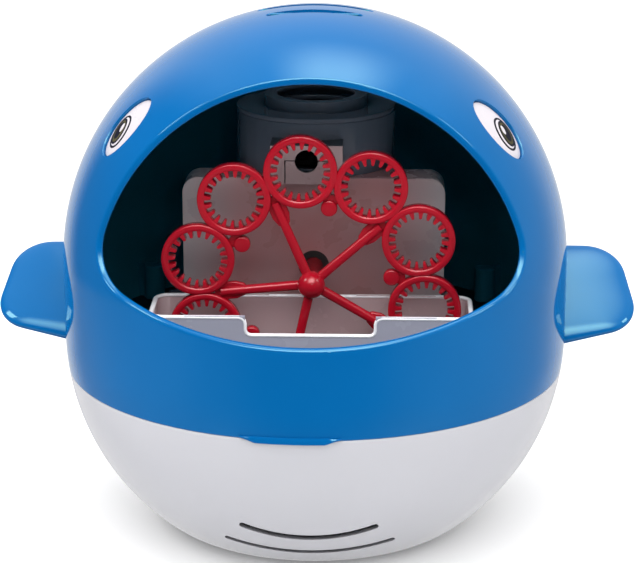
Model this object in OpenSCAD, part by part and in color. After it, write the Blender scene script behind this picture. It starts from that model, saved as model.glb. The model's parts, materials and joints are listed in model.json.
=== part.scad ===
// Round bubble machine with the look of a whale.
// Origin: centre of the flat base. +Z is up and the mouth faces -Y. Millimetres.

/* [Body] */
// Radius of the round body
body_r = 82.5; // [82.3:0.1:83]
// Height of the centre of the domed top
dome_z = 89; // [88:0.5:90]
// Height where the straight side ends and the belly curve begins
bowl_z = 65; // [64.5:0.5:65.5]
// Radius of the belly curve
bowl_r = 78.5; // [78:0.5:79]
// Radius of the rounded edge between the belly and the flat base
edge_r = 16; // [15:0.5:17]
// Height of the joint between the upper and the lower casing
seam_z = 54; // [53.5:0.5:54.5]
// Wall thickness of both casings
wall = 2; // [1.8:0.1:2.1]

/* [Mouth] */
// Distance from the body axis to the upright plane of the mouth
mouth_y = 46.2; // [46:0.2:48]
// Height of the lower lip at the very front
lip_z = 82.7; // [82:0.1:84]
// Slope of the lower lip, seen from the side, in degrees
lip_slope = 21; // [20:0.5:23]
// Radius that joins the lower lip to the upright plane
lip_corner_r = 18.3; // [17:0.1:19]
// Depth of the rim that turns inward round the mouth
lip_depth = 2.4; // [2.2:0.1:5]

/* [Face, vents and fins] */
// Direction of each eye round the body, from the front, in degrees
eye_az = 62.8; // [61:0.1:64]
// Height angle of each eye on the dome, in degrees
eye_el = 37.2; // [36:0.1:39]
// Half length of an eye
eye_a = 11.4; // [10.5:0.1:12]
// Half width of an eye
eye_b = 7.15; // [6.5:0.05:7.5]
// Distance between the air slots on top
vent_pitch = 10.5; // [10:0.5:11]
// Tilt of the fins, front edge down, in degrees
fin_tilt = 35; // [33:1:37]

/* [Wand wheel and tray] */
// Height of the wand wheel's axis
wheel_z = 90; // [89.5:0.5:90.5]
// Distance from the body axis to the middle of the wand wheel
wheel_y = 37; // [36.5:0.5:37.5]
// Radius of the circle that the wand rings stand on
ring_circle_r = 36.4; // [36:0.1:36.6]
// Number of wand rings
rings = 10; // [10]
// Outer radius of one wand ring
ring_r = 11.5; // [11.3:0.1:11.6]
// Number of teeth inside one wand ring
ring_teeth = 20; // [16:1:22]
// Half width of the solution tray
tray_w = 50.6; // [50.2:0.1:50.8]
// Height of the tray's rim
tray_top = 82; // [81.5:0.5:82]

/* [Gear train] */
// Gear module
gear_m = 0.5; // [0.5]
// Half width of the gearbox
gearbox_w = 42; // [41.5:0.5:42.5]
// Height of the gearbox's top
gearbox_top = 119; // [119]

/* [Blower] */
// Radius of the fan housing
drum_r = 26; // [25.8:0.1:26.2]
// Radius of the fan housing's air intake
intake_r = 12.7; // [12:0.1:13]
// Number of fan blades
blades = 12; // [8:1:14]

/* [Battery bay] */
// Diameter of one cell
cell_d = 14.4; // [14.2:0.1:14.5]
// Length of one cell
cell_l = 50.3; // [49.8:0.1:50.5]

/* [Hidden] */

blue = [0.06, 0.42, 0.76];
white = [0.93, 0.93, 0.95];
red = [0.80, 0.08, 0.10];
clear_grey = [0.78, 0.78, 0.80, 0.8];
navy = [0.05, 0.08, 0.14];
black = [0.07, 0.07, 0.07];
steel = [0.72, 0.72, 0.74];

fit = 0.3;           // gap between separate mouldings
run_gap = 0.05;      // radial clearance of a running shaft
$fn = 96;

// Body outline
bowl_x = body_r - bowl_r;
edge_x = bowl_x + sqrt(pow(bowl_r - edge_r, 2) - pow(bowl_z - edge_r, 2));
top_z = dome_z + body_r;
function edge_top(d) = bowl_z - (bowl_r - d) * (bowl_z - edge_r) / (bowl_r - edge_r);
// Radius of the belly's surface at height z, inset by d
function bowl_radius(z, d) = bowl_x + sqrt(pow(bowl_r - d, 2) - pow(bowl_z - z, 2));

// Inside joints and screws
tongue_r = 79.4;     // outer radius of the lower casing's tongue
tongue_t = 1.8;
tongue_top = 58;     // the deck rests here
deck_t = 2;
deck_top = tongue_top + deck_t;
column_xy = [37, 10];
column_r = 4.6;
column_top = 34;
deck_post = [58, 46]; // X and Y of the posts that hold the deck to the upper casing
post_r = 3.5;
shank_r = 1.45;
pilot_r = 1.5;
head_r = 2.9;

// Tray
tray_front = -49.5;
tray_back = -24.5;
tray_floor = 38.5;
tray_t = 1.3;
tray_corner_r = 24;
tray_plan_r = 5;
notch_w = 20.3;      // half width of the low middle part of the tray's front wall
notch_drop = 5.7;

// Wheel
ring_t = 4;
ring_tip_r = 7.15;
ring_root_r = 9.4;
ring_phase = 23.4;
spoke_w = 3.3;
tab_t = 2.2;
hub_ball_r = 4.3;
sleeve_r = 3.2;
shaft_r = 1.5;

// Gearbox and gear layers along Y
foot_top = deck_top + 2;
box_front = -16;
box_split = -9.5;
box_back = -3;
box_t = 1.5;
box_corner_r = 5;
layer_1 = [-7.4, -5.0];
layer_2 = [-10.6, -8.0];
layer_3 = [-13.9, -11.2];
pin_r = 1.0;
pinion_teeth = 8;
first_teeth = [36, 10];
second_teeth = [40, 10];
output_teeth = 44;
second_angle = 215;
first_angle = 190;
pinion_angle = 240;
function polar(r, a) = [r * cos(a), r * sin(a)];
output_at = [0, wheel_z];
second_at = output_at + polar(gear_m * (output_teeth + second_teeth[1]) / 2, second_angle);
first_at = second_at + polar(gear_m * (second_teeth[0] + first_teeth[1]) / 2, first_angle);
pinion_at = first_at + polar(gear_m * (first_teeth[0] + pinion_teeth) / 2, pinion_angle);
wheel_motor_r = 10.2;
wheel_motor_l = 25;

// Blower
fan_at = [0, 10];
drum_floor = gearbox_top;
drum_top = 138;
drum_t = 1.5;
collar_r = 17;
collar_h = 3.5;
impeller_r = 21;
fan_motor_r = 12.2;
fan_motor_l = 29;
nozzle_at = [-2, 126.4];
nozzle_r = 3.65;
nozzle_x = [-13.4, 9.4];
nozzle_front = -24.5;
nozzle_top = 131.4;
insert_x = [-8.6, 6];

// Battery bay
cell_pitch = 14.8;
cell_z = 10.0;
bay_x = 31;
bay_y = 30;
bay_top = 19;
door_x = 29.3;
door_y = 27.2;
door_t = 1.8;
door_gap = 0.3;
door_screw_y = 34;
door_lobe_r = 4.2;
door_tab_x = 15;

// Switch on the back
switch_z = 70;
switch_travel = 4;
knob_w = 5;
knob_h = 4;

// ---------- shared shapes ----------

// Half outline of the body, inset by d
module body_outline(d) {
    e = edge_top(d);
    intersection() {
        translate([0, dome_z]) circle(body_r - d, $fn = 180);
        translate([0, dome_z]) square([body_r, body_r]);
    }
    translate([0, bowl_z]) square([body_r - d, dome_z - bowl_z]);
    intersection() {
        translate([bowl_x, bowl_z]) circle(bowl_r - d, $fn = 180);
        translate([0, e]) square([body_r, bowl_z - e]);
    }
    translate([0, d]) square([edge_x, e - d]);
    intersection() {
        translate([edge_x, edge_r]) circle(edge_r - d, $fn = 180);
        translate([edge_x, d]) square([edge_r, e - d]);
    }
}

// Ring of the body wall from inset d1 to inset d2, between heights z1 and z2
module body_shell(d1, d2, z1, z2) {
    rotate_extrude($fn = 180) intersection() {
        difference() {
            body_outline(d1);
            body_outline(d2);
        }
        translate([0, z1]) square([body_r + 1, z2 - z1]);
    }
}

// Extrudes an outline drawn in X and Z along Y, from y1 to y2
module along_y(y1, y2) {
    translate([0, y2, 0]) rotate([90, 0, 0]) linear_extrude(y2 - y1) children();
}

// Round bar along Y at p = [x, z]
module bar_y(r, y1, y2, p) {
    translate([p[0], y2, p[1]]) rotate([90, 0, 0]) cylinder(r = r, h = y2 - y1);
}

// Upright round bar at p = [x, y]
module bar_z(r, z1, z2, p) {
    translate([p[0], p[1], z1]) cylinder(r = r, h = z2 - z1);
}

// Block between two corners
module block(a, b) {
    translate(a) cube(b - a);
}

// Rectangle between two corners, with rounded corners
module round_rect(a, b, r) {
    translate([a[0] + r, a[1]]) square([b[0] - a[0] - 2 * r, b[1] - a[1]]);
    translate([a[0], a[1] + r]) square([b[0] - a[0], b[1] - a[1] - 2 * r]);
    for (x = [a[0] + r, b[0] - r], y = [a[1] + r, b[1] - r]) translate([x, y]) circle(r, $fn = 48);
}

// Copies at the four mirrored places of p = [x, y]
module four_places(p) {
    for (sx = [-1, 1], sy = [-1, 1]) translate([sx * p[0], sy * p[1], 0]) children();
}

// Pan head screw along +Z, head under z
module screw(z, length, head_h = 2) {
    difference() {
        union() {
            translate([0, 0, z - head_h]) cylinder(r = head_r, h = head_h);
            translate([0, 0, z - 0.01]) cylinder(r = shank_r, h = length);
        }
        for (a = [0, 90]) rotate(a) translate([-1.6, -0.35, z - head_h - 0.1]) cube([3.2, 0.7, 1.1]);
    }
}

// Closed tube swept along points, with a fixed number of sides
function unit(v) = v / norm(v);
function heading(p, i) = unit(p[min(i + 1, len(p) - 1)] - p[max(i - 1, 0)]);
function side_of(h) = abs(h[2]) > 0.9 ? unit(cross(h, [0, 1, 0])) : unit(cross(h, [0, 0, 1]));
module tube_along(p, r, sides = 8) {
    n = len(p);
    rims = [for (i = [0:n - 1]) let (h = heading(p, i), u = side_of(h), v = cross(h, u))
            for (k = [0:sides - 1]) p[i] + r * (cos(360 * k / sides) * u + sin(360 * k / sides) * v)];
    skin = [for (i = [0:n - 2], k = [0:sides - 1]) let (a = i * sides + k, b = i * sides + (k + 1) % sides)
            [a, b, b + sides, a + sides]];
    ends = [[for (k = [sides - 1:-1:0]) k], [for (k = [0:sides - 1]) (n - 1) * sides + k]];
    polyhedron(points = rims, faces = concat(skin, ends));
}

// Smooth path through hand-placed points
function blend(a, b, c, d, t) = 0.5 * (2 * b + (c - a) * t + (2 * a - 5 * b + 4 * c - d) * t * t
                                       + (3 * b - a - 3 * c + d) * t * t * t);
function smooth(p, steps = 4) = concat(
    [for (i = [0:len(p) - 2], s = [0:steps - 1])
        blend(p[max(i - 1, 0)], p[i], p[i + 1], p[min(i + 2, len(p) - 1)], s / steps)],
    [p[len(p) - 1]]);

// ---------- casings ----------

// Side outline of the mouth cut, grown by g, drawn in Y and Z
module mouth_outline(g) {
    n = [sin(lip_slope), -cos(lip_slope)];
    c = [-mouth_y - lip_corner_r,
         lip_z + ((body_r - mouth_y - lip_corner_r) * sin(lip_slope) + lip_corner_r) / cos(lip_slope)];
    low = c + (lip_corner_r + g) * n;
    side = c + [lip_corner_r + g, 0];
    reach = 60;
    polygon([low - reach * [cos(lip_slope), sin(lip_slope)], low, side,
             [side[0], top_z + 10], [-body_r - reach, top_z + 10]]);
    translate(c) circle(lip_corner_r + g);
}

module mouth_cut(g) {
    rotate([90, 0, 90]) translate([0, 0, -body_r]) linear_extrude(2 * body_r) mouth_outline(g);
}

// Places an eye shape on the dome, on side s
module on_eye(s) {
    mirror([s < 0 ? 1 : 0, 0, 0]) translate([0, 0, dome_z])
        rotate([0, 0, eye_az]) rotate([90 - eye_el, 0, 0]) rotate([0, 0, 110]) children();
}

// Oval prism grown by g, from the sphere of radius r1 outward to the height r2
module eye_oval(g, r1, r2) {
    difference() {
        translate([0, 0, r1 - 3]) linear_extrude(r2 - r1 + 3)
            polygon([for (a = [0:6:354]) [(eye_a + g) * cos(a), (eye_b + g) * sin(a)]]);
        rotate([90, 0, 0]) sphere(r1, $fn = 180);
    }
}

eye_seat = 1.55;     // depth of the eye's seat in the casing
eye_sink = 0.95;     // how far the eye sits below the casing's surface

module vent_slots() {
    vent_w = 2.7;
    vent_circle_r = 18.4;
    vent_centre_y = 3.5;
    for (i = [-1:1]) {
        half = sqrt(pow(vent_circle_r, 2) - pow(i * vent_pitch, 2)) - vent_w / 2;
        translate([0, vent_centre_y + i * vent_pitch, top_z - 12]) {
            block([-half, -vent_w / 2, 0], [half, vent_w / 2, 20]);
            for (s = [-1, 1]) translate([s * half, 0, 0]) cylinder(d = vent_w, h = 20, $fn = 32);
        }
    }
}

// Slim pry lip on the joint, left of the middle
module seam_lip() {
    lip = [-20, 10];
    intersection() {
        rotate_extrude($fn = 180) translate([81.85, seam_z - 1.5]) square([0.85, 2.6]);
        block([lip[0], -90, seam_z - 5], [lip[1], -60, seam_z + 5]);
    }
}

// Post with a rib to the wall, for one deck screw
module deck_post_at(sx, sy) {
    translate([sx * deck_post[0], sy * deck_post[1], deck_top + 0.05]) {
        cylinder(r = post_r, h = 12);
        rotate(atan2(sy * deck_post[1], sx * deck_post[0])) translate([0, -1.2, 0]) cube([7.4, 2.4, 12]);
    }
}

fin_slot = [8, 1.7]; // half sizes of the slot for a fin's root tab

module upper_casing() color(blue) {
    difference() {
        union() {
            difference() {
                body_shell(0, wall, seam_z, top_z + 1);
                mouth_cut(0);
            }
            intersection() {
                body_shell(0, lip_depth, seam_z, top_z + 1);
                difference() {
                    mouth_cut(wall);
                    mouth_cut(0);
                }
            }
            seam_lip();
            for (sx = [-1, 1], sy = [-1, 1]) deck_post_at(sx, sy);
        }
        vent_slots();
        for (s = [-1, 1]) on_eye(s) eye_oval(0.15, body_r - eye_seat, body_r + 5);
        four_places(deck_post) bar_z(pilot_r, deck_top - 1, deck_top + 10, [0, 0]);
        for (s = [-1, 1]) fin_place(s) block([body_r - 8, -fin_slot[0], -fin_slot[1]],
                                             [body_r + 5, fin_slot[0], fin_slot[1]]);
        tail_place() block([-9, -8, -1.7], [9, 5, 1.7]);
        block([-knob_w / 2 - switch_travel / 2 - 0.4, body_r - 8, switch_z - knob_h / 2 - 0.3],
              [knob_w / 2 + switch_travel / 2 + 0.4, body_r + 2, switch_z + knob_h / 2 + 0.3]);
    }
}

// Curved slot through the belly: ends at (+-half, z_end), lowest point at z_mid
module belly_slot(half, z_end, z_mid, w) {
    drop = z_end - z_mid;
    r = (half * half + drop * drop) / (2 * drop);
    along_y(-body_r, -40) {
        intersection() {
            translate([0, z_mid + r]) difference() {
                circle(r + w / 2, $fn = 180);
                circle(r - w / 2, $fn = 180);
            }
            translate([-half, z_mid - w]) square([2 * half, drop + 2 * w]);
        }
        for (s = [-1, 1]) translate([s * half, z_end]) circle(w / 2, $fn = 32);
    }
}

module lower_casing() color(white) {
    difference() {
        union() {
            body_shell(0, wall, 0, seam_z);
            rotate_extrude($fn = 180) translate([tongue_r - tongue_t, seam_z - 6])
                square([tongue_t, tongue_top - seam_z + 6]);
            four_places(column_xy) bar_z(column_r, wall - 0.5, column_top, [0, 0]);
            block([-7, bay_y + 0.4, wall - 0.5], [7, door_screw_y + 6.5, 11]);
        }
        belly_slot(20.6, 20, 16.1, 2.2);
        belly_slot(26, 12.1, 8.4, 1.7);
        four_places(column_xy) {
            translate([0, 0, -1]) cylinder(r = head_r + 0.4, h = 27);
            cylinder(r = pilot_r + 0.2, h = column_top + 1);
        }
        block([-door_x - door_gap, -door_y - door_gap, -1],
              [door_x + door_gap, door_y + door_gap, wall + 0.1]);
        door_lobe(door_gap, -1, 2.9);
        bar_z(2.2, 0, 12, [0, door_screw_y]);
    }
}

module eye(s) color(white) {
    on_eye(s) intersection() {
        eye_oval(0, body_r - eye_seat + 0.02, body_r + 2);
        rotate([90, 0, 0]) sphere(body_r - eye_sink, $fn = 180);
    }
}

// ---------- fins and tail ----------

// Fin frame: X outward, Y along the chord, Z through the thickness
module fin_place(s) {
    mirror([s < 0 ? 1 : 0, 0, 0]) translate([0, 12, 72]) rotate([fin_tilt, 0, 0]) children();
}

// Solid fin in the fin frame. flat is its thickness as a share of its width
module fin_body(flat) {
    hull() {
        translate([95.2, -4.4, 0]) scale([1, 1, flat]) sphere(11.1, $fn = 32);
        translate([90.7, 8, 0]) scale([1, 1, flat]) sphere(13.4, $fn = 32);
        for (y = [-9.5, 9.9]) translate([76, y, 0]) scale([1, 1, flat + 0.1]) sphere(11.5, $fn = 32);
    }
}

// Tab that holds the fin in the casing's slot
module fin_tab() {
    block([body_r - 4, -fin_slot[0] + 0.3, -1.4], [body_r + 4, fin_slot[0] - 0.3, -0.06]);
}

module fin_half(s, up) color(blue) {
    hollow = up ? 1.8 : 0.7;
    difference() {
        fin_place(s) difference() {
            union() {
                intersection() {
                    fin_body(up ? 0.3 : 0.18);
                    block([60, -40, up ? 0.06 : -20], [120, 40, up ? 20 : -0.06]);
                }
                if (!up) fin_tab();
            }
            translate([0, 0, up ? 0 : -hollow]) {
                bar_z(7, 0, hollow, [95.2, -4.4]);
                bar_z(8.5, 0, hollow, [90.5, 7]);
            }
        }
        difference() {
            bar_z(body_r + 0.02, 0, 150, [0, 0]);
            if (!up) fin_place(s) fin_tab();
        }
    }
}

// Tail frame: X across, Y backward and up along the fluke, Z through the thickness
module tail_place() {
    translate([0, 80, 96]) rotate([35, 0, 0]) children();
}

// Two rounded lobes on a short stem
module tail_body() {
    for (s = [-1, 1]) hull() {
        translate([0, 2, 0]) scale([1, 1, 0.42]) sphere(8, $fn = 32);
        translate([s * 9, 14, 0]) scale([1, 1, 0.36]) sphere(8, $fn = 32);
        translate([s * 20, 20, 0]) scale([1, 1, 0.36]) sphere(6, $fn = 32);
    }
}

// Tab that holds the tail in the casing's slot
module tail_tab() {
    block([-8.7, -5, -1.4], [8.7, 8, -0.06]);
}

module tail_half(up) color(blue) {
    difference() {
        tail_place() {
            intersection() {
                tail_body();
                block([-40, -20, up ? 0.06 : -20], [40, 40, up ? 20 : -0.06]);
            }
            if (!up) tail_tab();
        }
        difference() {
            tail_clear();
            if (!up) tail_place() tail_tab();
        }
    }
}

// The body's own round volume, which the tail stands on
module tail_clear() {
    rotate_extrude($fn = 180) {
        intersection() {
            translate([0, dome_z]) circle(body_r + 0.02, $fn = 180);
            translate([0, dome_z]) square(body_r + 1);
        }
        translate([0, dome_z - 60]) square([body_r + 0.02, 60]);
    }
}

// ---------- deck and tray ----------

// Front outline of the tray, grown by g, up to height top
module tray_outline(g, top) {
    w = tray_w + g;
    r = tray_corner_r;
    b = tray_floor - g;
    translate([-w, b + r]) square([2 * w, top - b - r]);
    translate([-w + r, b]) square([2 * (w - r), top - b]);
    for (s = [-1, 1]) translate([s * (w - r), b + r]) circle(r);
}

// Tray block grown by g, with rounded upright corners
module tray_block(g, top) {
    intersection() {
        along_y(tray_front - g, tray_back + g) tray_outline(g, top);
        linear_extrude(top + 1)
            round_rect([-tray_w - g, tray_front - g], [tray_w + g, tray_back + g], tray_plan_r + min(g, 0));
    }
}

module solution_tray() color(white) {
    difference() {
        tray_block(0, tray_top);
        tray_block(-tray_t, tray_top + 1);
        along_y(tray_front - 2, tray_front + 3)
            round_rect([-notch_w, tray_top - notch_drop], [notch_w, tray_top + 6], 1.8);
    }
}

clip_x = 43.5;

module deck() color(navy) {
    pocket = 1.9;
    difference() {
        union() {
            bar_z(tongue_r, tongue_top, deck_top, [0, 0]);
            tray_block(pocket, deck_top);
            four_places(column_xy) translate([0, 0, column_top + 0.2])
                cylinder(r = 4, h = tongue_top - column_top);
            for (s = [-1, 1]) block([s * clip_x - 2.5, tray_back + 0.4, tongue_top],
                                    [s * clip_x + 2.5, tray_back + 2, tray_top + 1.5]);
            for (p = mount_at) bar_z(3.5, tongue_top - 8, deck_top, p);
        }
        tray_block(fit, deck_top + 40);
        four_places(column_xy) translate([0, 0, column_top]) cylinder(r = pilot_r, h = 16);
        four_places(deck_post) bar_z(pilot_r + 0.2, tongue_top - 1, deck_top + 1, [0, 0]);
        for (p = mount_at) bar_z(pilot_r, tongue_top - 7, deck_top + 1, p);
        for (p = lead_holes) bar_z(3.2, tongue_top - 1, deck_top + 1, p);
    }
}

// ---------- wand wheel ----------

// Hole of one wand ring, with teeth that point inward
module ring_hole() {
    step = 360 / ring_teeth;
    polygon([for (i = [0:ring_teeth - 1]) each [
        polar(ring_root_r, i * step - 0.22 * step), polar(ring_root_r, i * step + 0.22 * step),
        polar(ring_tip_r, i * step + 0.33 * step), polar(ring_tip_r, i * step + 0.67 * step)]]);
}

module on_rings(r, phase, n) {
    for (i = [0:n - 1]) rotate(phase + i * 360 / n) translate([r, 0]) children();
}

module wheel_rings() {
    difference() {
        union() {
            on_rings(ring_circle_r, ring_phase, rings) circle(ring_r);
        }
        on_rings(ring_circle_r, ring_phase, rings) ring_hole();
    }
}

// Outline of the ring bodies, used to keep tabs and spokes out of the ring holes
module ring_discs(r) {
    on_rings(ring_circle_r, ring_phase, rings) circle(r);
}

spokes = 5;
spoke_phase = ring_phase + 18;

module wheel_spokes() {
    difference() {
        on_rings(0, spoke_phase, spokes) {
            translate([0, -spoke_w / 2]) square([ring_circle_r - 4, spoke_w]);
        }
        ring_discs(ring_root_r + 0.4);
    }
}

// Wide tabs at the spoke ends, and the knobs between them
module wheel_tabs() {
    difference() {
        union() {
            on_rings(0, spoke_phase, spokes) polygon([[21, -1.6], [24, -2.8], [34, -2.8],
                                                      [34, 2.8], [24, 2.8], [21, 1.6]]);
            on_rings(0, spoke_phase + 36, spokes) translate([25, -1.7]) square([9, 3.4]);
            on_rings(25.2, spoke_phase + 36, spokes) circle(2.6, $fn = 48);
        }
        ring_discs(ring_root_r + 0.4);
    }
}

module wand_wheel() color(red) {
    front = -wheel_y - ring_t / 2;
    back = -wheel_y + ring_t / 2;
    difference() {
        union() {
            translate([0, 0, wheel_z]) {
                along_y(front, back) wheel_rings();
                along_y(front + 0.4, back - 0.2) wheel_spokes();
                along_y(back - tab_t, back - 0.1) wheel_tabs();
            }
            translate([0, -wheel_y - 1, wheel_z]) sphere(hub_ball_r);
            bar_y(sleeve_r, -wheel_y, box_front - 1, output_at);
        }
        bar_y(shaft_r, -wheel_y + 1, box_front + 1, output_at);
    }
}

module wheel_shaft() color(steel) {
    bar_y(shaft_r, -wheel_y + 1, -5.2, output_at);
}

// ---------- gears ----------

// Rolled-off angle of an involute at radius r from base radius b, in degrees
function involute(b, r) = sqrt(pow(r / b, 2) - 1) * 180 / PI - acos(b / r);

// Gear outline with n teeth, one of them centred on direction phase
module gear_outline(n, phase) {
    pitch = n * gear_m / 2;
    base = pitch * cos(20);
    tip = pitch + gear_m * (n < 12 ? 0.85 : 0.95);
    root = pitch - 1.2 * gear_m;
    start = max(base, root);
    half_tooth = 90 / n * 0.86;
    r_steps = [start, (start + pitch) / 2, pitch, (pitch + tip) / 2, tip];
    flank = [for (r = r_steps) [r, half_tooth + involute(base, pitch) - involute(base, r)]];
    step = 360 / n;
    foot = half_tooth + involute(base, pitch);
    rotate(phase) polygon([for (i = [0:n - 1]) each concat(
        [polar(root, i * step - min(foot, step / 2 - 0.6))],
        [for (k = [0:4]) polar(flank[k][0], i * step - flank[k][1])],
        [for (k = [4:-1:0]) polar(flank[k][0], i * step + flank[k][1])],
        [polar(root, i * step + min(foot, step / 2 - 0.6))])]);
}

// Gear of n teeth at p, between the two heights of layer, with its shaft hole
module spur(n, p, layer, phase) {
    translate([p[0], 0, p[1]]) along_y(layer[0], layer[1]) gear_outline(n, phase);
}

module output_gear() color(white) {
    difference() {
        union() {
            spur(output_teeth, output_at, layer_3, second_angle + 180 / output_teeth);
            bar_y(2.6, layer_3[1] - 0.2, -9.4, output_at);
        }
        bar_y(shaft_r, -20, 0, output_at);
    }
}

module second_gear() color(white) {
    difference() {
        union() {
            spur(second_teeth[0], second_at, layer_2, first_angle + 180 / second_teeth[0]);
            spur(second_teeth[1], second_at, [layer_3[0], layer_2[0] + 0.2], second_angle + 180);
        }
        bar_y(pin_r + run_gap, -20, 0, second_at);
    }
}

module first_gear() color(white) {
    difference() {
        union() {
            spur(first_teeth[0], first_at, layer_1, pinion_angle + 180 / first_teeth[0]);
            spur(first_teeth[1], first_at, [layer_2[0] - 0.1, layer_1[0] + 0.2], first_angle + 180);
        }
        bar_y(pin_r + run_gap, -20, 0, first_at);
    }
}

module motor_pinion() color(white) {
    difference() {
        spur(pinion_teeth, pinion_at, [layer_1[0] - 0.2, -4.6], pinion_angle + 180);
        bar_y(1, -20, 0, pinion_at);
    }
}

module wheel_motor_shaft() color(steel) {
    bar_y(1, layer_1[0] - 0.2, wheel_motor_l - 8, pinion_at);
}

module wheel_motor() color(steel) {
    back = box_back + wheel_motor_l;
    difference() {
        union() {
            bar_y(wheel_motor_r, box_back + 0.02, back, pinion_at);
            bar_y(3, back, back + 1.6, pinion_at);
        }
        bar_y(1 + run_gap, box_back - 1, back - 3, pinion_at);
    }
}

module gear_pins() color(steel) {
    for (p = [first_at, second_at]) bar_y(pin_r, box_front + 0.7, box_back - 0.5, p);
}

module shaft_bush() color(black) {
    difference() {
        union() {
            bar_y(4.98, box_front + 0.4, box_front + box_t + 0.5, output_at);
            bar_y(6, box_front + box_t + 0.02, box_front + box_t + 0.5, output_at);
        }
        bar_y(shaft_r + run_gap, -20, 0, output_at);
    }
}

// ---------- gearbox ----------

// Front outline of the gearbox, inset by d
module gearbox_outline(d) {
    w = gearbox_w - d;
    r = box_corner_r - d;
    translate([-w, deck_top + d]) square([2 * w, gearbox_top - deck_top - d - box_corner_r]);
    translate([-w + r, gearbox_top - box_corner_r - 1]) square([2 * (w - r), box_corner_r + 1 - d]);
    for (s = [-1, 1]) translate([s * (w - r), gearbox_top - box_corner_r]) circle(r, $fn = 48);
}

// The lower left screw stands higher than the lower right one, clear of the wheel motor
box_screw_x = gearbox_w - 5.5;
box_screw_at = [[-box_screw_x, deck_top + 24], [box_screw_x, deck_top + 7],
                [-box_screw_x, gearbox_top - 7], [box_screw_x, gearbox_top - 7]];

module gearbox_front() color(clear_grey) {
    difference() {
        union() {
            difference() {
                along_y(box_front, box_split) gearbox_outline(0);
                along_y(box_front + box_t, box_split + 1) gearbox_outline(box_t);
            }
            for (p = box_screw_at) bar_y(3, box_front + 1, box_split, p);
        }
        bar_y(5, box_front - 1, 0, output_at);
        for (p = box_screw_at) bar_y(pilot_r, box_front + 1.6, 0, p);
        for (p = [first_at, second_at]) bar_y(pin_r + 0.02, box_front + 0.6, 0, p);
    }
}

mount_at = [[-12, 4], [34, 4]];  // feet of the gearbox, on the deck

module gearbox_rear() color(clear_grey) {
    difference() {
        union() {
            difference() {
                along_y(box_split + 0.02, box_back) gearbox_outline(0);
                along_y(box_split - 1, box_back - box_t) gearbox_outline(box_t);
            }
            for (p = box_screw_at) bar_y(3, box_split + 0.02, box_back, p);
            bar_y(2.6, -7, box_back - 1, output_at);
            intersection() {
                bar_z(24, gearbox_top - 2, gearbox_top, fan_at);
                block([-30, box_back - 1, 0], [30, 60, 200]);
            }
            for (s = [-1, 1]) translate([s * 16 - 1, 0, 0]) rotate([90, 0, 90]) linear_extrude(2)
                polygon([[box_back - 1, 88], [box_back - 1, gearbox_top - 1], [24, gearbox_top - 1]]);
            for (p = mount_at) block([p[0] - 5, box_back - 1, deck_top], [p[0] + 5, p[1] + 5, foot_top]);
        }
        bar_y(shaft_r + run_gap, -20, -5.0, output_at);
        bar_y(3.2, -20, 5, pinion_at);
        for (p = box_screw_at) bar_y(pilot_r + 0.2, -20, 5, p);
        for (p = [first_at, second_at]) bar_y(pin_r + 0.02, -20, box_back - 0.4, p);
        bar_z(fan_motor_r + 0.1, 80, 130, fan_at);
        for (p = mount_at) bar_z(pilot_r + 0.2, deck_top - 1, foot_top + 1, p);
    }
}

// ---------- blower ----------

module blower_housing() color(clear_grey) {
    difference() {
        bar_z(drum_r, drum_floor, drum_top - drum_t, fan_at);
        bar_z(drum_r - drum_t, drum_floor + drum_t, drum_top, fan_at);
        bar_z(4, drum_floor - 1, drum_top, fan_at);
        block([-10, -20, drum_floor + 3], [6, fan_at[1] - 18, nozzle_top - drum_t]);
    }
}

module blower_cover() color(clear_grey) {
    difference() {
        union() {
            bar_z(drum_r, drum_top - drum_t + 0.02, drum_top, fan_at);
            bar_z(drum_r - drum_t - 0.1, drum_top - drum_t - 1.5, drum_top - 1, fan_at);
            bar_z(collar_r, drum_top - 1, drum_top + collar_h, fan_at);
        }
        bar_z(drum_r - 2 * drum_t, drum_top - 10, drum_top - drum_t, fan_at);
        bar_z(intake_r, drum_top - 10, drum_top + 10, fan_at);
        bar_z(collar_r - 1.4, drum_top - 0.1, drum_top + collar_h - 1.2, fan_at);
    }
}

// Edge point of a fan blade at radius r: a thin strip that leans back as it goes outward
function blade_point(r, side) = polar(r, -2.6 * (r - 9) + side * 35 / r);

module impeller() color(white) {
    difference() {
        union() {
            bar_z(impeller_r - 0.5, drum_floor + 3, drum_floor + 4.2, fan_at);
            bar_z(4, drum_floor + 3, drum_floor + 13, fan_at);
            translate([fan_at[0], fan_at[1], drum_floor + 4]) for (i = [0:blades - 1])
                rotate(i * 360 / blades) linear_extrude(9.5)
                    polygon(concat([for (r = [8:2:20]) blade_point(r, 1)],
                                   [for (r = [20:-2:8]) blade_point(r, -1)]));
        }
        bar_z(1, drum_floor, drum_floor + 12, fan_at);
    }
}

module fan_motor() color(steel) {
    top = gearbox_top - 0.02;
    difference() {
        union() {
            bar_z(fan_motor_r, top - fan_motor_l, top, fan_at);
            bar_z(3, top - fan_motor_l - 1.6, top - fan_motor_l, fan_at);
            bar_z(3, top, drum_floor + 1.2, fan_at);
        }
        bar_z(1 + run_gap, top - fan_motor_l + 3, drum_floor + 5, fan_at);
    }
}

module fan_motor_shaft() color(steel) {
    bar_z(1, gearbox_top - fan_motor_l + 4, drum_floor + 12, fan_at);
}

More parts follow.
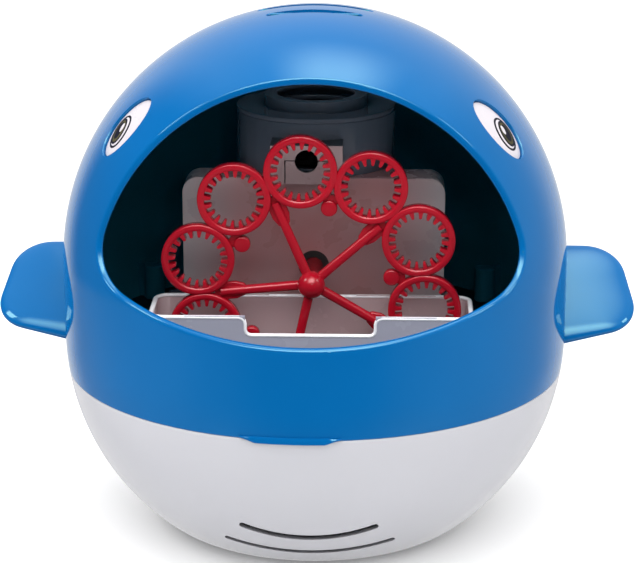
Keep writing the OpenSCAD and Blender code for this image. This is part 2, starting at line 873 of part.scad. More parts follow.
module nozzle_block() color(clear_grey) {
    t = 1.5;
    difference() {
        block([nozzle_x[0], nozzle_front, drum_floor + 0.02], [nozzle_x[1], fan_at[1], nozzle_top]);
        bar_z(drum_r + 0.03, 100, 150, fan_at);
        block([nozzle_x[0] + t, nozzle_front + t, drum_floor + t],
              [nozzle_x[1] - t, fan_at[1], nozzle_top - t]);
        bar_y(nozzle_r, nozzle_front - 1, nozzle_front + t + 1, nozzle_at);
        block([insert_x[0] - 0.35, nozzle_front - 1, drum_floor - 1],
              [insert_x[1] + 0.35, nozzle_front + t + 0.1, nozzle_at[1] + 0.35]);
    }
}

module nozzle_insert() color(clear_grey) {
    t = 1.5;
    difference() {
        union() {
            block([insert_x[0], nozzle_front, drum_floor + 0.02],
                  [insert_x[1], nozzle_front + t, nozzle_at[1]]);
            block([insert_x[0] + 1, nozzle_front + t - 0.1, drum_floor + t + 0.3],
                  [insert_x[1] - 1, nozzle_front + t + 2, drum_floor + t + 2]);
        }
        bar_y(nozzle_r, nozzle_front - 1, nozzle_front + t + 3, nozzle_at);
    }
}

// ---------- power switch ----------

module switch_body() color(black) {
    depth = 9;
    back_y = body_r - wall - 0.6;
    difference() {
        block([-9, back_y - depth, switch_z - 5], [9, back_y, switch_z + 5]);
        block([-knob_w / 2 - switch_travel / 2 - 0.4, back_y - 5, switch_z - knob_h / 2 - 0.3],
              [knob_w / 2 + switch_travel / 2 + 0.4, back_y + 1, switch_z + knob_h / 2 + 0.3]);
    }
}

module switch_knob() color(black) {
    x0 = -switch_travel / 2;
    back_y = body_r - wall - 0.6;
    difference() {
        block([x0 - knob_w / 2, back_y - 4.5, switch_z - knob_h / 2],
              [x0 + knob_w / 2, body_r + 1.4, switch_z + knob_h / 2]);
        for (i = [-1:1]) block([x0 + i * 1.4 - 0.3, body_r + 0.9, switch_z - 5],
                               [x0 + i * 1.4 + 0.3, body_r + 3, switch_z + 5]);
    }
}

// ---------- battery bay ----------

function cell_x(i) = (i - 1.5) * cell_pitch;
door_tab = [4, 2.4, 1.2];

module battery_box() color(black) {
    t = 1.4;
    difference() {
        block([-bay_x, -bay_y, wall + 0.1], [bay_x, bay_y, bay_top]);
        block([-bay_x + t, -bay_y + t, 0], [bay_x - t, bay_y - t, bay_top - t]);
        for (s = [-1, 1]) block([s * door_tab_x - 5.5, -bay_y - 1, 0],
                                [s * door_tab_x + 5.5, -bay_y + t + 1, 8]);
        for (s = [-1, 1]) bar_y(1.6, bay_y - 3, bay_y + 1, [s * 12, 14]);
    }
    for (i = [-1:1]) block([i * cell_pitch - 0.3, -18, 13], [i * cell_pitch + 0.3, 18, bay_top - t + 0.1]);
}

module battery_cells() for (i = [0:3]) {
    flip = i % 2 == 0 ? 1 : -1;
    nub = 1.0;
    color([0.15, 0.16, 0.18]) translate([cell_x(i), 0, cell_z]) rotate([flip * 90, 0, 0]) {
        translate([0, 0, -cell_l / 2]) cylinder(d = cell_d, h = cell_l - nub);
        translate([0, 0, cell_l / 2 - nub - 0.01]) cylinder(r = 2.75, h = nub);
    }
}

// Coil spring that narrows towards its tip, standing on y0 and pointing along dir
module coil(x, y0, dir) {
    turns = 3;
    per_turn = 12;
    wire = 0.3;
    height = 2.95;
    n = turns * per_turn;
    pts = [for (i = [0:n]) let (a = 360 * i / per_turn, r = 4.4 - 1.6 * i / n)
           [x + r * cos(a), y0 + dir * (wire + (height - 2 * wire) * i / n), cell_z + r * sin(a)]];
    tube_along(pts, wire, 6);
}

contact_t = 0.4;
contact_y = bay_y - 1.4 - 0.05;

module contact_springs() color(steel) for (i = [0:3]) {
    dir = i % 2 == 0 ? -1 : 1;
    coil(cell_x(i), -dir * (contact_y - contact_t), dir);
}

module contact_plates() color(steel) {
    for (i = [0:3], s = [-1, 1]) {
        y = s * contact_y;
        block([cell_x(i) - 5.5, min(y, y - s * contact_t), cell_z - 5.5],
              [cell_x(i) + 5.5, max(y, y - s * contact_t), cell_z + 5.5]);
        positive = (i % 2 == 0) == (s < 0);
        if (positive) {
            y2 = y - s * contact_t;
            block([cell_x(i) - 3, min(y2, s * (cell_l / 2 + 0.1)), cell_z - 3],
                  [cell_x(i) + 3, max(y2, s * (cell_l / 2 + 0.1)), cell_z + 3]);
        }
    }
}

// Round lobe at the door's back edge, grown by g, for the door screw
module door_lobe(g, z1, z2) {
    bar_z(door_lobe_r + g, z1, z2, [0, door_screw_y]);
    block([-door_lobe_r - g, door_y - 1, z1], [door_lobe_r + g, door_screw_y, z2]);
}

module battery_door() color(white) {
    difference() {
        union() {
            block([-door_x, -door_y, 0], [door_x, door_y, door_t]);
            door_lobe(0, 0, door_t);
            for (s = [-1, 1]) {
                block([s * door_tab_x - door_tab[0], -door_y - 0.01, 0.9],
                      [s * door_tab_x + door_tab[0], -door_y + 3, wall + 0.3 + door_tab[2]]);
                block([s * door_tab_x - door_tab[0], -door_y - door_tab[1], wall + 0.3],
                      [s * door_tab_x + door_tab[0], -door_y + 0.1, wall + 0.3 + door_tab[2]]);
            }
            for (x = [-door_x + 6:door_x / 3 - 2:door_x - 5]) block([x - 0.5, -20, 0.5], [x + 0.5, 24, 2.5]);
        }
        bar_z(1.7, -1, 5, [0, door_screw_y]);
        bar_z(head_r + 0.2, -1, 0.9, [0, door_screw_y]);
        for (i = [0:4]) block([-9, -16 - 2.4 * i, -1], [9, -15.2 - 2.4 * i, 0.4]);
    }
}

module battery_door_screw() color(steel) {
    translate([0, door_screw_y, 0]) screw(0.9, 6, 0.8);
}

// ---------- screws ----------

module casing_screws() color(steel) four_places(column_xy) screw(26, 18);

module deck_screws() color(steel) four_places(deck_post) screw(tongue_top, 10);

module gearbox_screws() color(steel) for (p = box_screw_at)
    translate([p[0], 0, p[1]]) rotate([90, 0, 0]) screw(-box_back, 9.5);

module mount_screws() color(steel) for (p = mount_at)
    translate([p[0], p[1], 2 * foot_top]) mirror([0, 0, 1]) screw(foot_top, 7);

// ---------- internal leads ----------

lead_r = 0.9;
lead_holes = [[-14, 46], [16, 46]];
motor_term = [pinion_at[0] - 5, pinion_at[0] + 5];   // X of the wheel motor's two terminals
motor_term_z = 70.5;

module lead_battery_switch() color("red")
    tube_along(smooth([[-12, 28.8, 14], [-12, 33, 14], [-13, 41, 19], [-14, 45.5, 34], [-14, 46, 50],
                       [-14, 46, 62], [-12, 52, 69], [-6, 62, 72], [-4, 70.4, 72]]), lead_r);

module lead_switch_motor() color("red")
    tube_along(smooth([[4, 70.4, 72], [5, 64, 72], [8, 50, 76], [8, 34, 82], [6, 20, 82],
                       [5.5, 13, 85], [5.5, 12, 87.4], [5.5, 12, 89.6]]), lead_r);

module lead_battery_return() color("black")
    tube_along(smooth([[12, 28.8, 14], [12, 33, 14], [14, 41, 19], [16, 45.5, 34], [16, 46, 50],
                       [16, 46, 60], [10, 44, 66], [-6, 40, 67], [-20, 36, 68], [-31, 31, 69.5],
                       [motor_term[0], 27, motor_term_z], [motor_term[0], 23, motor_term_z]]), lead_r);

module lead_motor_link() color("black")
    tube_along(smooth([[-5.5, 12, 89.6], [-5.5, 12, 87.4], [-6, 13.5, 85], [-9, 19, 81], [-14, 25, 76],
                       [-20, 29, 72.5], [motor_term[1], 27, motor_term_z],
                       [motor_term[1], 23, motor_term_z]]), lead_r);

// ---------- the parts ----------

upper_casing();
lower_casing();
eye(-1);  // eye_left
eye(1);  // eye_right
fin_half(-1, true);  // fin_left_upper
fin_half(-1, false);  // fin_left_lower
fin_half(1, true);  // fin_right_upper
fin_half(1, false);  // fin_right_lower
tail_half(true);  // tail_upper
tail_half(false);  // tail_lower
deck();
solution_tray();
wand_wheel();
wheel_shaft();
output_gear();
second_gear();
first_gear();
motor_pinion();
wheel_motor_shaft();
wheel_motor();
gear_pins();
shaft_bush();
gearbox_front();
gearbox_rear();
blower_housing();
blower_cover();
impeller();
fan_motor();
fan_motor_shaft();
nozzle_block();
nozzle_insert();
switch_body();
switch_knob();
battery_box();
battery_cells();
contact_springs();
contact_plates();
battery_door();
battery_door_screw();
casing_screws();
deck_screws();
gearbox_screws();
mount_screws();
lead_battery_switch();
lead_switch_motor();
lead_battery_return();
lead_motor_link();
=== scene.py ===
import json
import math
import bpy
import numpy as np
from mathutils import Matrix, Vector


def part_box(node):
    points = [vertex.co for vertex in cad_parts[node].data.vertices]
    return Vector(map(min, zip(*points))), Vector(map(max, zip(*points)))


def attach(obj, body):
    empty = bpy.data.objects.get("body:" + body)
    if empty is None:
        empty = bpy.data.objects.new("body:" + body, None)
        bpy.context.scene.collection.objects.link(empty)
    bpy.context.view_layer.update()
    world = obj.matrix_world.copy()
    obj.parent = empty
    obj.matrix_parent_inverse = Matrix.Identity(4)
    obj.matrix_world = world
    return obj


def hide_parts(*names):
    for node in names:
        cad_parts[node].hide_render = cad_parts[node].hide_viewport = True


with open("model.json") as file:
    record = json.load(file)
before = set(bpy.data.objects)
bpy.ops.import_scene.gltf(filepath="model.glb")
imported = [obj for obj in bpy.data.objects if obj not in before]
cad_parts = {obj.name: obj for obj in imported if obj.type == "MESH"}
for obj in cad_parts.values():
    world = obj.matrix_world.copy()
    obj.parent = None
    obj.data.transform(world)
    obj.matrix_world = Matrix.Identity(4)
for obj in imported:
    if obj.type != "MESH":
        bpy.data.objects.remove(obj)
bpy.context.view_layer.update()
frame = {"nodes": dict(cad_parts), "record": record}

MM = 0.001
NODES = frame["nodes"]
rad = math.radians
scene = bpy.context.scene

# ---------------------------------------------------------------- camera, light and floor


def make_camera():
    data = bpy.data.cameras.new("camera")
    data.sensor_width = 36.0
    data.lens = 128.8
    data.clip_start = 0.01
    cam = bpy.data.objects.new("camera", data)
    cam.location = (0.0228, -0.7254, 0.2943)
    cam.rotation_euler = (rad(90 - 16.46), 0, rad(1.675))
    scene.collection.objects.link(cam)
    scene.camera = cam


def area_light(name, place, aim, size, power, shows=True):
    data = bpy.data.lights.new(name, "AREA")
    data.shape = "RECTANGLE"
    data.size, data.size_y = size
    data.energy = power
    lamp = bpy.data.objects.new(name, data)
    lamp.location = place
    lamp.rotation_euler = (Vector(aim) - Vector(place)).to_track_quat("-Z", "Y").to_euler()
    lamp.visible_glossy = shows
    scene.collection.objects.link(lamp)


def link(nt, a, b):
    nt.links.new(a, b)


def node_tree(name):
    """A new material's node tree with one principled shader."""
    mat = bpy.data.materials.new(name)
    mat.use_nodes = True
    nt = mat.node_tree
    nt.nodes.clear()
    out = nt.nodes.new("ShaderNodeOutputMaterial")
    bsdf = nt.nodes.new("ShaderNodeBsdfPrincipled")
    link(nt, bsdf.outputs[0], out.inputs[0])
    return mat, nt, bsdf


def spread(nt, value, to_low, to_high, low=0.3, high=0.7, smooth=False):
    """Maps a value from low...high to to_low...to_high, with a smooth step if asked."""
    step = nt.nodes.new("ShaderNodeMapRange")
    step.interpolation_type = "SMOOTHSTEP" if smooth else "LINEAR"
    for socket, number in (("From Min", low), ("From Max", high), ("To Min", to_low), ("To Max", to_high)):
        step.inputs[socket].default_value = number
    link(nt, value, step.inputs["Value"])
    return step.outputs["Result"]


def calculated(nt, operation, a, b=0.0):
    """Result of a math node on a socket and a socket or number."""
    node = nt.nodes.new("ShaderNodeMath")
    node.operation = operation
    link(nt, a, node.inputs[0])
    if hasattr(b, "links"):
        link(nt, b, node.inputs[1])
    else:
        node.inputs[1].default_value = b
    return node.outputs[0]


# Soft boxes: on each axis the box's middle, its bright half width and where it has faded out
SOFT_BOXES = ((("X", 0.1, 0.05, 0.38), ("Y", -0.05, 0.25, 0.7), ("Z", 1.0, 0.3, 0.8)),
              (("X", 0.0, 0.2, 0.55), ("Y", -0.62, 0.1, 0.32), ("Z", 1.0, 0.35, 0.7)))
BOX_LIGHT, SECOND_BOX, SURROUND = 4.8, 2.2, 0.85
SOFT_LIGHT, BACKDROP = 0.2, 1.0


def setup_world():
    """White backdrop. Reflections see two soft boxes overhead and a surround that is dark at the camera."""
    world = bpy.data.worlds.new("world")
    world.use_nodes = True
    nt = world.node_tree
    background = nt.nodes["Background"]
    background.inputs[0].default_value = (1, 1, 1, 1)
    parts = nt.nodes.new("ShaderNodeSeparateXYZ")
    link(nt, nt.nodes.new("ShaderNodeTexCoord").outputs["Generated"], parts.inputs[0])
    x, y, z = (parts.outputs[axis] for axis in "XYZ")
    boxes = []
    for sides in SOFT_BOXES:
        box = None
        for axis, middle, near, far in sides:
            away = calculated(nt, "ABSOLUTE", calculated(nt, "SUBTRACT", parts.outputs[axis], middle))
            side = spread(nt, away, 1.0, 0.0, near, far, smooth=True)
            box = side if box is None else calculated(nt, "MULTIPLY", box, side)
        boxes.append(box)
    box = calculated(nt, "ADD", boxes[0], calculated(nt, "MULTIPLY", boxes[1], SECOND_BOX))
    front = spread(nt, y, 0.0, SURROUND, -0.93, -0.35, smooth=True)
    low = spread(nt, z, 0.5, 0.88, -0.33, -0.24, smooth=True)
    left = spread(nt, x, 1.0, 0.0, -0.74, -0.45, smooth=True)
    right = spread(nt, x, 1.0, 0.55, 0.5, 0.85, smooth=True)
    sides = calculated(nt, "SUBTRACT", right, calculated(nt, "MULTIPLY", left, low))
    surround = calculated(nt, "MULTIPLY", front, sides)
    seen = calculated(nt, "ADD", calculated(nt, "MULTIPLY", box, BOX_LIGHT), surround)
    ray = nt.nodes.new("ShaderNodeLightPath")
    for is_ray, seen_socket, other_socket, other in (("Is Glossy Ray", "B", "A", SOFT_LIGHT),
                                                     ("Is Camera Ray", "A", "B", BACKDROP)):
        pick = nt.nodes.new("ShaderNodeMix")
        link(nt, ray.outputs[is_ray], pick.inputs["Factor"])
        link(nt, seen, pick.inputs[seen_socket])
        pick.inputs[other_socket].default_value = other
        seen = pick.outputs["Result"]
    link(nt, seen, background.inputs[1])
    scene.world = world
    scene.view_settings.view_transform = "Standard"


def setup_stage():
    setup_world()
    mat, _nt, bsdf = node_tree("floor")
    bsdf.inputs["Base Color"].default_value = (0.64, 0.64, 0.64, 1)
    bsdf.inputs["Roughness"].default_value = 0.9
    bsdf.inputs["Specular IOR Level"].default_value = 0.1
    bsdf.inputs["Emission Color"].default_value = (1, 1, 1, 1)
    bsdf.inputs["Emission Strength"].default_value = 0.16
    mesh = bpy.data.meshes.new("floor")
    edge = 6.0
    corners = [(-edge, -edge, 0), (edge, -edge, 0), (edge, edge, 0), (-edge, edge, 0)]
    mesh.from_pydata(corners, [], [(0, 1, 2, 3)])
    floor = bpy.data.objects.new("floor", mesh)
    floor.location.z = -0.0002
    mesh.materials.append(mat)
    scene.collection.objects.link(floor)
    floor.visible_glossy = False
    area_light("key", (-0.62, -0.22, 0.70), (0, 0, 0.10), (0.20, 0.26), 1.9)
    area_light("fill", (0.66, -0.25, 0.66), (0, 0, 0.10), (0.14, 0.22), 1.0)
    area_light("front", (0.05, -1.0, 0.95), (0, 0, 0.12), (0.9, 0.5), 0.12, shows=False)
    area_light("flash", (0.10, -0.80, 0.36), (0, 0, 0.09), (0.03, 0.03), 0.12)
    sun = bpy.data.lights.new("sky", "SUN")
    sun.energy = 6.1
    sun.angle = rad(110)
    sky = bpy.data.objects.new("sky", sun)
    sky.rotation_euler = (rad(9), 0, 0)
    sky.visible_glossy = False
    scene.collection.objects.link(sky)


# ---------------------------------------------------------------- materials


# Noise scales of the colour drift, the scratches and the sheen
DRIFT, SCRATCHES, SHEEN = 28.0, 420.0, 60.0


def noise(nt, coords, scale, detail=3.0):
    n = nt.nodes.new("ShaderNodeTexNoise")
    n.inputs["Scale"].default_value = scale
    n.inputs["Detail"].default_value = detail
    n.inputs["Roughness"].default_value = 0.55
    link(nt, coords, n.inputs["Vector"])
    return n.outputs["Fac"]


def mixed(nt, factor, a, b):
    """Mix of two colours, each a socket or three numbers."""
    m = nt.nodes.new("ShaderNodeMix")
    m.data_type = "RGBA"
    link(nt, factor, m.inputs["Factor"])
    for value, socket in ((a, m.inputs["A"]), (b, m.inputs["B"])):
        if hasattr(value, "links"):
            link(nt, value, socket)
        else:
            socket.default_value = (*value, 1)
    return m.outputs["Result"]


def plastic(name, colour, rough=0.25, mottle=0.05, bump=0.02, grain=900.0, scuff=0.03, gloss=0.5,
            gloss_tint=(1, 1, 1), metal=0.0, sss=0.0, painted_light_tint=None, spread_at=None, other=None, axis="Y"):
    """Moulded plastic or metal: soft colour drift, uneven sheen, fine ripple and thin light scratches.

    painted_light_tint is a second colour for painted light and shade. It starts and ends at spread_at, in
    metres along axis; on X it spreads to both sides. other is a colour that the main one drifts to in soft
    clouds.
    """
    mat, nt, bsdf = node_tree(name)
    coords = nt.nodes.new("ShaderNodeTexCoord").outputs["Object"]
    drift = noise(nt, coords, DRIFT, 2.0)
    dark = tuple(c * (1 - mottle) for c in colour)
    light = other or tuple(min(1.0, c * (1 + mottle)) for c in colour)
    base = mixed(nt, spread(nt, drift, 0, 1), dark, light)
    # Painted light and shade: a second colour that takes over along an axis, by place
    if painted_light_tint:
        parts = nt.nodes.new("ShaderNodeSeparateXYZ")
        link(nt, coords, parts.inputs[0])
        far = calculated(nt, "ABSOLUTE", parts.outputs[axis]) if axis == "X" else parts.outputs[axis]
        base = mixed(nt, spread(nt, far, 0, 1, *spread_at), base, painted_light_tint)
    stretch = nt.nodes.new("ShaderNodeMapping")
    stretch.inputs["Scale"].default_value = (1.0, 0.12, 5.0)
    stretch.inputs["Rotation"].default_value = (0.4, 0.7, 0.3)
    link(nt, coords, stretch.inputs["Vector"])
    worn = spread(nt, noise(nt, stretch.outputs[0], SCRATCHES, 2.0), 0, scuff, 0.62, 0.86)
    base = mixed(nt, worn, base, tuple(0.7 * c + 0.25 for c in colour))
    link(nt, base, bsdf.inputs["Base Color"])
    sheen = noise(nt, coords, SHEEN, 4.0)
    link(nt, spread(nt, sheen, rough * 0.8, rough * 1.25), bsdf.inputs["Roughness"])
    ripple = nt.nodes.new("ShaderNodeBump")
    ripple.inputs["Strength"].default_value = bump
    ripple.inputs["Distance"].default_value = 0.0004
    link(nt, noise(nt, coords, grain, 3.0), ripple.inputs["Height"])
    link(nt, ripple.outputs[0], bsdf.inputs["Normal"])
    bsdf.inputs["IOR"].default_value = 1.46
    bsdf.inputs["Specular IOR Level"].default_value = gloss
    bsdf.inputs["Specular Tint"].default_value = (*gloss_tint, 1)
    bsdf.inputs["Metallic"].default_value = metal
    if sss:
        bsdf.inputs["Subsurface Weight"].default_value = sss
        bsdf.inputs["Subsurface Scale"].default_value = 0.003
        bsdf.inputs["Subsurface Radius"].default_value = (1.0, 0.9, 0.8)
    return mat


LOOKS = {
    "casing_blue": dict(colour=(0.001, 0.093, 0.285), rough=0.06, mottle=0.03, bump=0.012, grain=120,
                        scuff=0.008, gloss=0.6, gloss_tint=(0.52, 1.0, 0.85)),
    "casing_inside": dict(colour=(0.010, 0.165, 0.25), rough=0.5, mottle=0.1, bump=0.04, scuff=0.01,
                          gloss=0.2),
    "belly_white": dict(colour=(0.455, 0.455, 0.487), rough=0.2, mottle=0.012, bump=0.015, grain=200,
                        scuff=0.02, sss=0.1),
    "eye_white": dict(colour=(0.52, 0.49, 0.52), rough=0.3, mottle=0.01, bump=0.02, scuff=0.02),
    "eye_black": dict(colour=(0.006, 0.006, 0.012), rough=0.5, mottle=0.1, bump=0.02, scuff=0.01,
                      gloss=0.1),
    "eye_iris": dict(colour=(0.055, 0.05, 0.025), rough=0.5, mottle=0.25, bump=0.02, scuff=0.02,
                     gloss=0.1),
    # The tray is one white plastic coloured two ways by place: the front wall darker and bluer as painted shade
    # of the lip, everything behind it lighter and pinker as painted light
    "tray_white": dict(colour=(0.36, 0.36, 0.44), rough=0.25, mottle=0.02, bump=0.03, scuff=0.01,
                       sss=0.1, painted_light_tint=(0.52, 0.40, 0.42), spread_at=(-0.0455, -0.044)),
    # A lighter copy of the tray's white for its rim bead: a painted highlight where the bead faces up
    "tray_rim_painted_lit": dict(colour=(0.88, 0.88, 0.92), rough=0.2, mottle=0.02, bump=0.02, scuff=0.02, sss=0.1),
    "wheel_red": dict(colour=(0.33, 0.004, 0.014), rough=0.2, mottle=0.05, bump=0.02, scuff=0.015,
                      gloss=0.4, sss=0.04),
    # The gearbox is grey-white plastic: its pink, strongest in the middle and greyer towards both ends along X,
    # is a painted reflection of the red wheel
    "gearbox_clear": dict(colour=(0.44, 0.175, 0.18), rough=0.28, mottle=0.05, bump=0.05, grain=400,
                          scuff=0.01, sss=0.12, other=(0.38, 0.26, 0.27), painted_light_tint=(0.36, 0.32, 0.335),
                          spread_at=(0.024, 0.040), axis="X"),
    # The nozzle is grey-white plastic: its pink is a painted reflection of the red wheel, and behind its front
    # face it turns near-black as painted shade
    "nozzle_painted_red_and_shade": dict(colour=(0.36, 0.27, 0.28), rough=0.28, mottle=0.06, bump=0.04, grain=400,
                         scuff=0.01, painted_light_tint=(0.02, 0.025, 0.032), spread_at=(-0.0244, -0.0238)),
    "blower_grey": dict(colour=(0.098, 0.118, 0.155), rough=0.11, mottle=0.08, bump=0.03, scuff=0.02),
    # Near-black navy: painted shade of the dark interior under the tray
    "deck_navy": dict(colour=(0.005, 0.010, 0.018), rough=0.4, mottle=0.15, bump=0.06, scuff=0.02,
                      gloss=0.3),
    "gear_white": dict(colour=(0.72, 0.71, 0.68), rough=0.4, mottle=0.04, bump=0.05, sss=0.1),
    "black_plastic": dict(colour=(0.015, 0.015, 0.016), rough=0.42, mottle=0.15, bump=0.08),
    "cell_wrap": dict(colour=(0.02, 0.022, 0.026), rough=0.25, mottle=0.05, bump=0.02),
    "motor_can": dict(colour=(0.55, 0.55, 0.56), rough=0.34, mottle=0.06, bump=0.05, metal=1.0),
    "steel": dict(colour=(0.62, 0.62, 0.64), rough=0.3, mottle=0.06, bump=0.05, metal=1.0),
    "lead_red": dict(colour=(0.45, 0.01, 0.012), rough=0.4, mottle=0.05, bump=0.05),
    "lead_black": dict(colour=(0.012, 0.012, 0.013), rough=0.4, mottle=0.05, bump=0.05),
}
MATS = {name: plastic(name, **look) for name, look in LOOKS.items()}

SLOT_OF = {p["node"]: p["material_slot"] for p in frame["record"]["subparts"]}
# Nodes that look unlike the rest of their slot; the impeller's black is painted shade that keeps the lit inside
# of the blower dark
OWN_LOOK = {"nozzle_block": "nozzle_painted_red_and_shade", "nozzle_insert": "nozzle_painted_red_and_shade", "impeller": "black_plastic"}
for node_name, node_object in NODES.items():
    node_object.data.materials.clear()
    node_object.data.materials.append(MATS[OWN_LOOK.get(node_name, SLOT_OF[node_name])])


# ---------------------------------------------------------------- mesh tools, in millimetres


def volume(v, faces):
    """Six times the volume inside the faces, below nought when they point inward."""
    tris = np.array([(f[0], f[k], f[k + 1]) for f in faces for k in range(1, len(f) - 1)])
    a, b, c = (v[tris] - v.mean(0)).transpose(1, 0, 2)
    return np.einsum("ij,ij->i", a, np.cross(b, c)).sum()


def joined(verts_faces):
    """One vertex and face list from several closed shapes, each turned to point outward."""
    verts, faces, start = [], [], 0
    for v, f in verts_faces:
        v = np.asarray(v, float)
        step = 1 if volume(v, f) > 0 else -1
        verts.append(v)
        faces.extend(tuple(i + start for i in face[::step]) for face in f)
        start += len(v)
    return np.concatenate(verts), faces


def mesh_object(name, *shapes):
    """One object from closed shapes, each a pair of points in millimetres and faces."""
    verts, faces = joined(shapes)
    mesh = bpy.data.meshes.new(name)
    mesh.from_pydata((verts * MM).tolist(), [], faces)
    mesh.update()
    obj = bpy.data.objects.new(name, mesh)
    scene.collection.objects.link(obj)
    return obj


def loft(rings, closed=False):
    """Skin over rings of one count of points, capped at both ends unless the rings close on themselves."""
    n = len(rings[0])
    total = len(rings)
    faces = []
    for i in range(total if closed else total - 1):
        a, b = i * n, ((i + 1) % total) * n
        faces.extend((a + k, a + (k + 1) % n, b + (k + 1) % n, b + k) for k in range(n))
    if not closed:
        faces.append(tuple(range(n - 1, -1, -1)))
        faces.append(tuple(range((total - 1) * n, total * n)))
    return np.concatenate(rings), faces


def boolean(obj, other, operation="DIFFERENCE"):
    """Applies one boolean and removes the other object."""
    mod = obj.modifiers.new("cut", "BOOLEAN")
    mod.operation = operation
    mod.solver = "MANIFOLD"
    mod.object = other
    graph = bpy.context.evaluated_depsgraph_get()
    mesh = bpy.data.meshes.new_from_object(obj.evaluated_get(graph))
    obj.modifiers.clear()
    old = obj.data
    obj.data = mesh
    mesh.name = obj.name
    bpy.data.meshes.remove(old)
    gone = other.data
    bpy.data.objects.remove(other)
    bpy.data.meshes.remove(gone)
    return obj


def place(obj, body, mat, nodes=(), angle=32, slot=None):
    """Shades a finished piece, gives it its material and body, and hides the CAD nodes it stands for."""
    obj.data.shade_smooth()
    obj.data.set_sharp_from_angle(angle=rad(angle))
    obj.data.materials.clear()
    obj.data.materials.append(MATS[mat])
    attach(obj, body)
    if nodes:
        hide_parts(*nodes)
    return obj


def circle(count):
    """Points of the unit circle."""
    turn = np.linspace(0, 2 * math.pi, count, endpoint=False)
    return np.column_stack([np.cos(turn), np.sin(turn)])


def disc_rings(profile, count, middle=(0.0, 0.0)):
    """Level rings of points, one for each (radius, height) of the profile."""
    c = circle(count)
    return [np.column_stack([c * r + middle, np.full(count, z)]) for r, z in profile]


def lathe(profile, count):
    """Closed ring turned from a closed profile of (radius, height) about Z."""
    return loft(disc_rings(profile, count), closed=True)


def arc(centre, radius, start, stop, steps):
    """Points of an arc, angles in degrees."""
    turn = np.radians(np.linspace(start, stop, steps + 1))
    return [(centre[0] + radius * math.cos(a), centre[1] + radius * math.sin(a)) for a in turn]


# ---------------------------------------------------------------- the body's surface

BODY_R, DOME_Z, BOWL_Z, BOWL_R, EDGE_R = 82.5, 89.0, 65.0, 78.5, 16.0
BOWL_X = BODY_R - BOWL_R
EDGE_X = BOWL_X + math.sqrt((BOWL_R - EDGE_R) ** 2 - (BOWL_Z - EDGE_R) ** 2)
SEAM_Z = 54.0
WALL = 2.0
CENTRE = np.array([0.0, 0.0, DOME_Z])


def surface(dirs, inset):
    """Point and outward normal of the body's surface, moved inward by inset, along rays from CENTRE."""
    h = np.maximum(np.hypot(dirs[:, 0], dirs[:, 1]), 1e-9)
    flat = dirs[:, :2] / h[:, None]
    r = BODY_R - inset
    t_side = r / h
    rb = BOWL_R - inset
    drop = DOME_Z - BOWL_Z
    half = drop * dirs[:, 2] - BOWL_X * h
    t_bowl = -half + np.sqrt(np.maximum(half ** 2 - (BOWL_X ** 2 + drop ** 2 - rb ** 2), 0))
    is_dome = dirs[:, 2] >= 0
    is_side = ~is_dome & (DOME_Z + t_side * dirs[:, 2] >= BOWL_Z)
    t = np.where(is_dome, r, np.where(is_side, t_side, t_bowl))
    points = CENTRE + dirs * t[:, None]
    side_n = np.column_stack([flat, np.zeros(len(dirs))])
    bowl_n = np.column_stack([flat * ((t * h - BOWL_X) / rb)[:, None], (points[:, 2] - BOWL_Z) / rb])
    normals = np.where(is_dome[:, None], dirs, np.where(is_side[:, None], side_n, bowl_n))
    return points, normals


# The mouth is cut along X: an upright plane, a sloping lower lip and a round corner between them
LIP = math.radians(21.0)
MOUTH_Y, LIP_CORNER, LIP_Z = 46.2, 18.3, 82.7
CORNER = (-MOUTH_Y - LIP_CORNER,
          LIP_Z + ((BODY_R - MOUTH_Y - LIP_CORNER) * math.sin(LIP) + LIP_CORNER) / math.cos(LIP))


def mouth(points):
    """Distance of each point behind the mouth's cut, and that distance's gradient."""
    y, z = points[:, 1] - CORNER[0], points[:, 2] - CORNER[1]
    low = math.sin(LIP) * y - math.cos(LIP) * z - LIP_CORNER
    reach = np.maximum(np.hypot(y, z), 1e-9)
    in_corner = (z < 0) & (y * math.cos(LIP) + z * math.sin(LIP) > 0)
    upright = z >= 0
    d = np.where(in_corner, reach - LIP_CORNER, np.where(upright, y - LIP_CORNER, low))
    gy = np.where(in_corner, y / reach, np.where(upright, 1.0, math.sin(LIP)))
    gz = np.where(in_corner, z / reach, np.where(upright, 0.0, -math.cos(LIP)))
    return d, np.column_stack([np.zeros(len(points)), gy, gz])


AXIS_UP = math.radians(28.0)
AXIS = np.array([0.0, -math.cos(AXIS_UP), math.sin(AXIS_UP)])
AXIS_V = np.array([0.0, math.sin(AXIS_UP), math.cos(AXIS_UP)])


def spoke(turn, alpha):
    """Directions at the angle alpha from the mouth's middle, turned by turn about it."""
    across = np.cos(turn)[:, None] * np.array([1.0, 0, 0]) + np.sin(turn)[:, None] * AXIS_V
    return np.cos(alpha)[:, None] * AXIS + np.sin(alpha)[:, None] * across


def solve(turn, inset, goal, measure):
    """Angle from the mouth's middle at which the measure of the surface, moved inward by inset, is goal."""
    low = np.full(len(turn), 0.02)
    high = np.full(len(turn), math.pi - 0.02)
    for _halving in range(40):
        mid = (low + high) / 2
        points, _n = surface(spoke(turn, mid), inset)
        inside = measure(points) < goal
        low, high = np.where(inside, mid, low), np.where(inside, high, mid)
    return (low + high) / 2


def at_mouth(turn, inset, depth):
    """Angle where the surface moved inward by inset lies depth behind the mouth's cut."""
    return solve(turn, inset, depth, lambda p: mouth(p)[0])


def at_height(turn, inset, height):
    """Angle where the surface moved inward by inset lies at a height."""
    return solve(turn, inset, -height, lambda p: -p[:, 2])


def mix_dirs(a, b, share):
    """Directions between a and b, on the great circle."""
    dot = np.clip((a * b).sum(1), -1, 1)
    angle = np.arccos(dot)[:, None]
    return (np.sin((1 - share) * angle) * a + np.sin(share * angle) * b) / np.sin(angle)


def unit(v):
    """Rows of v at length one."""
    return v / np.linalg.norm(v, axis=1)[:, None]


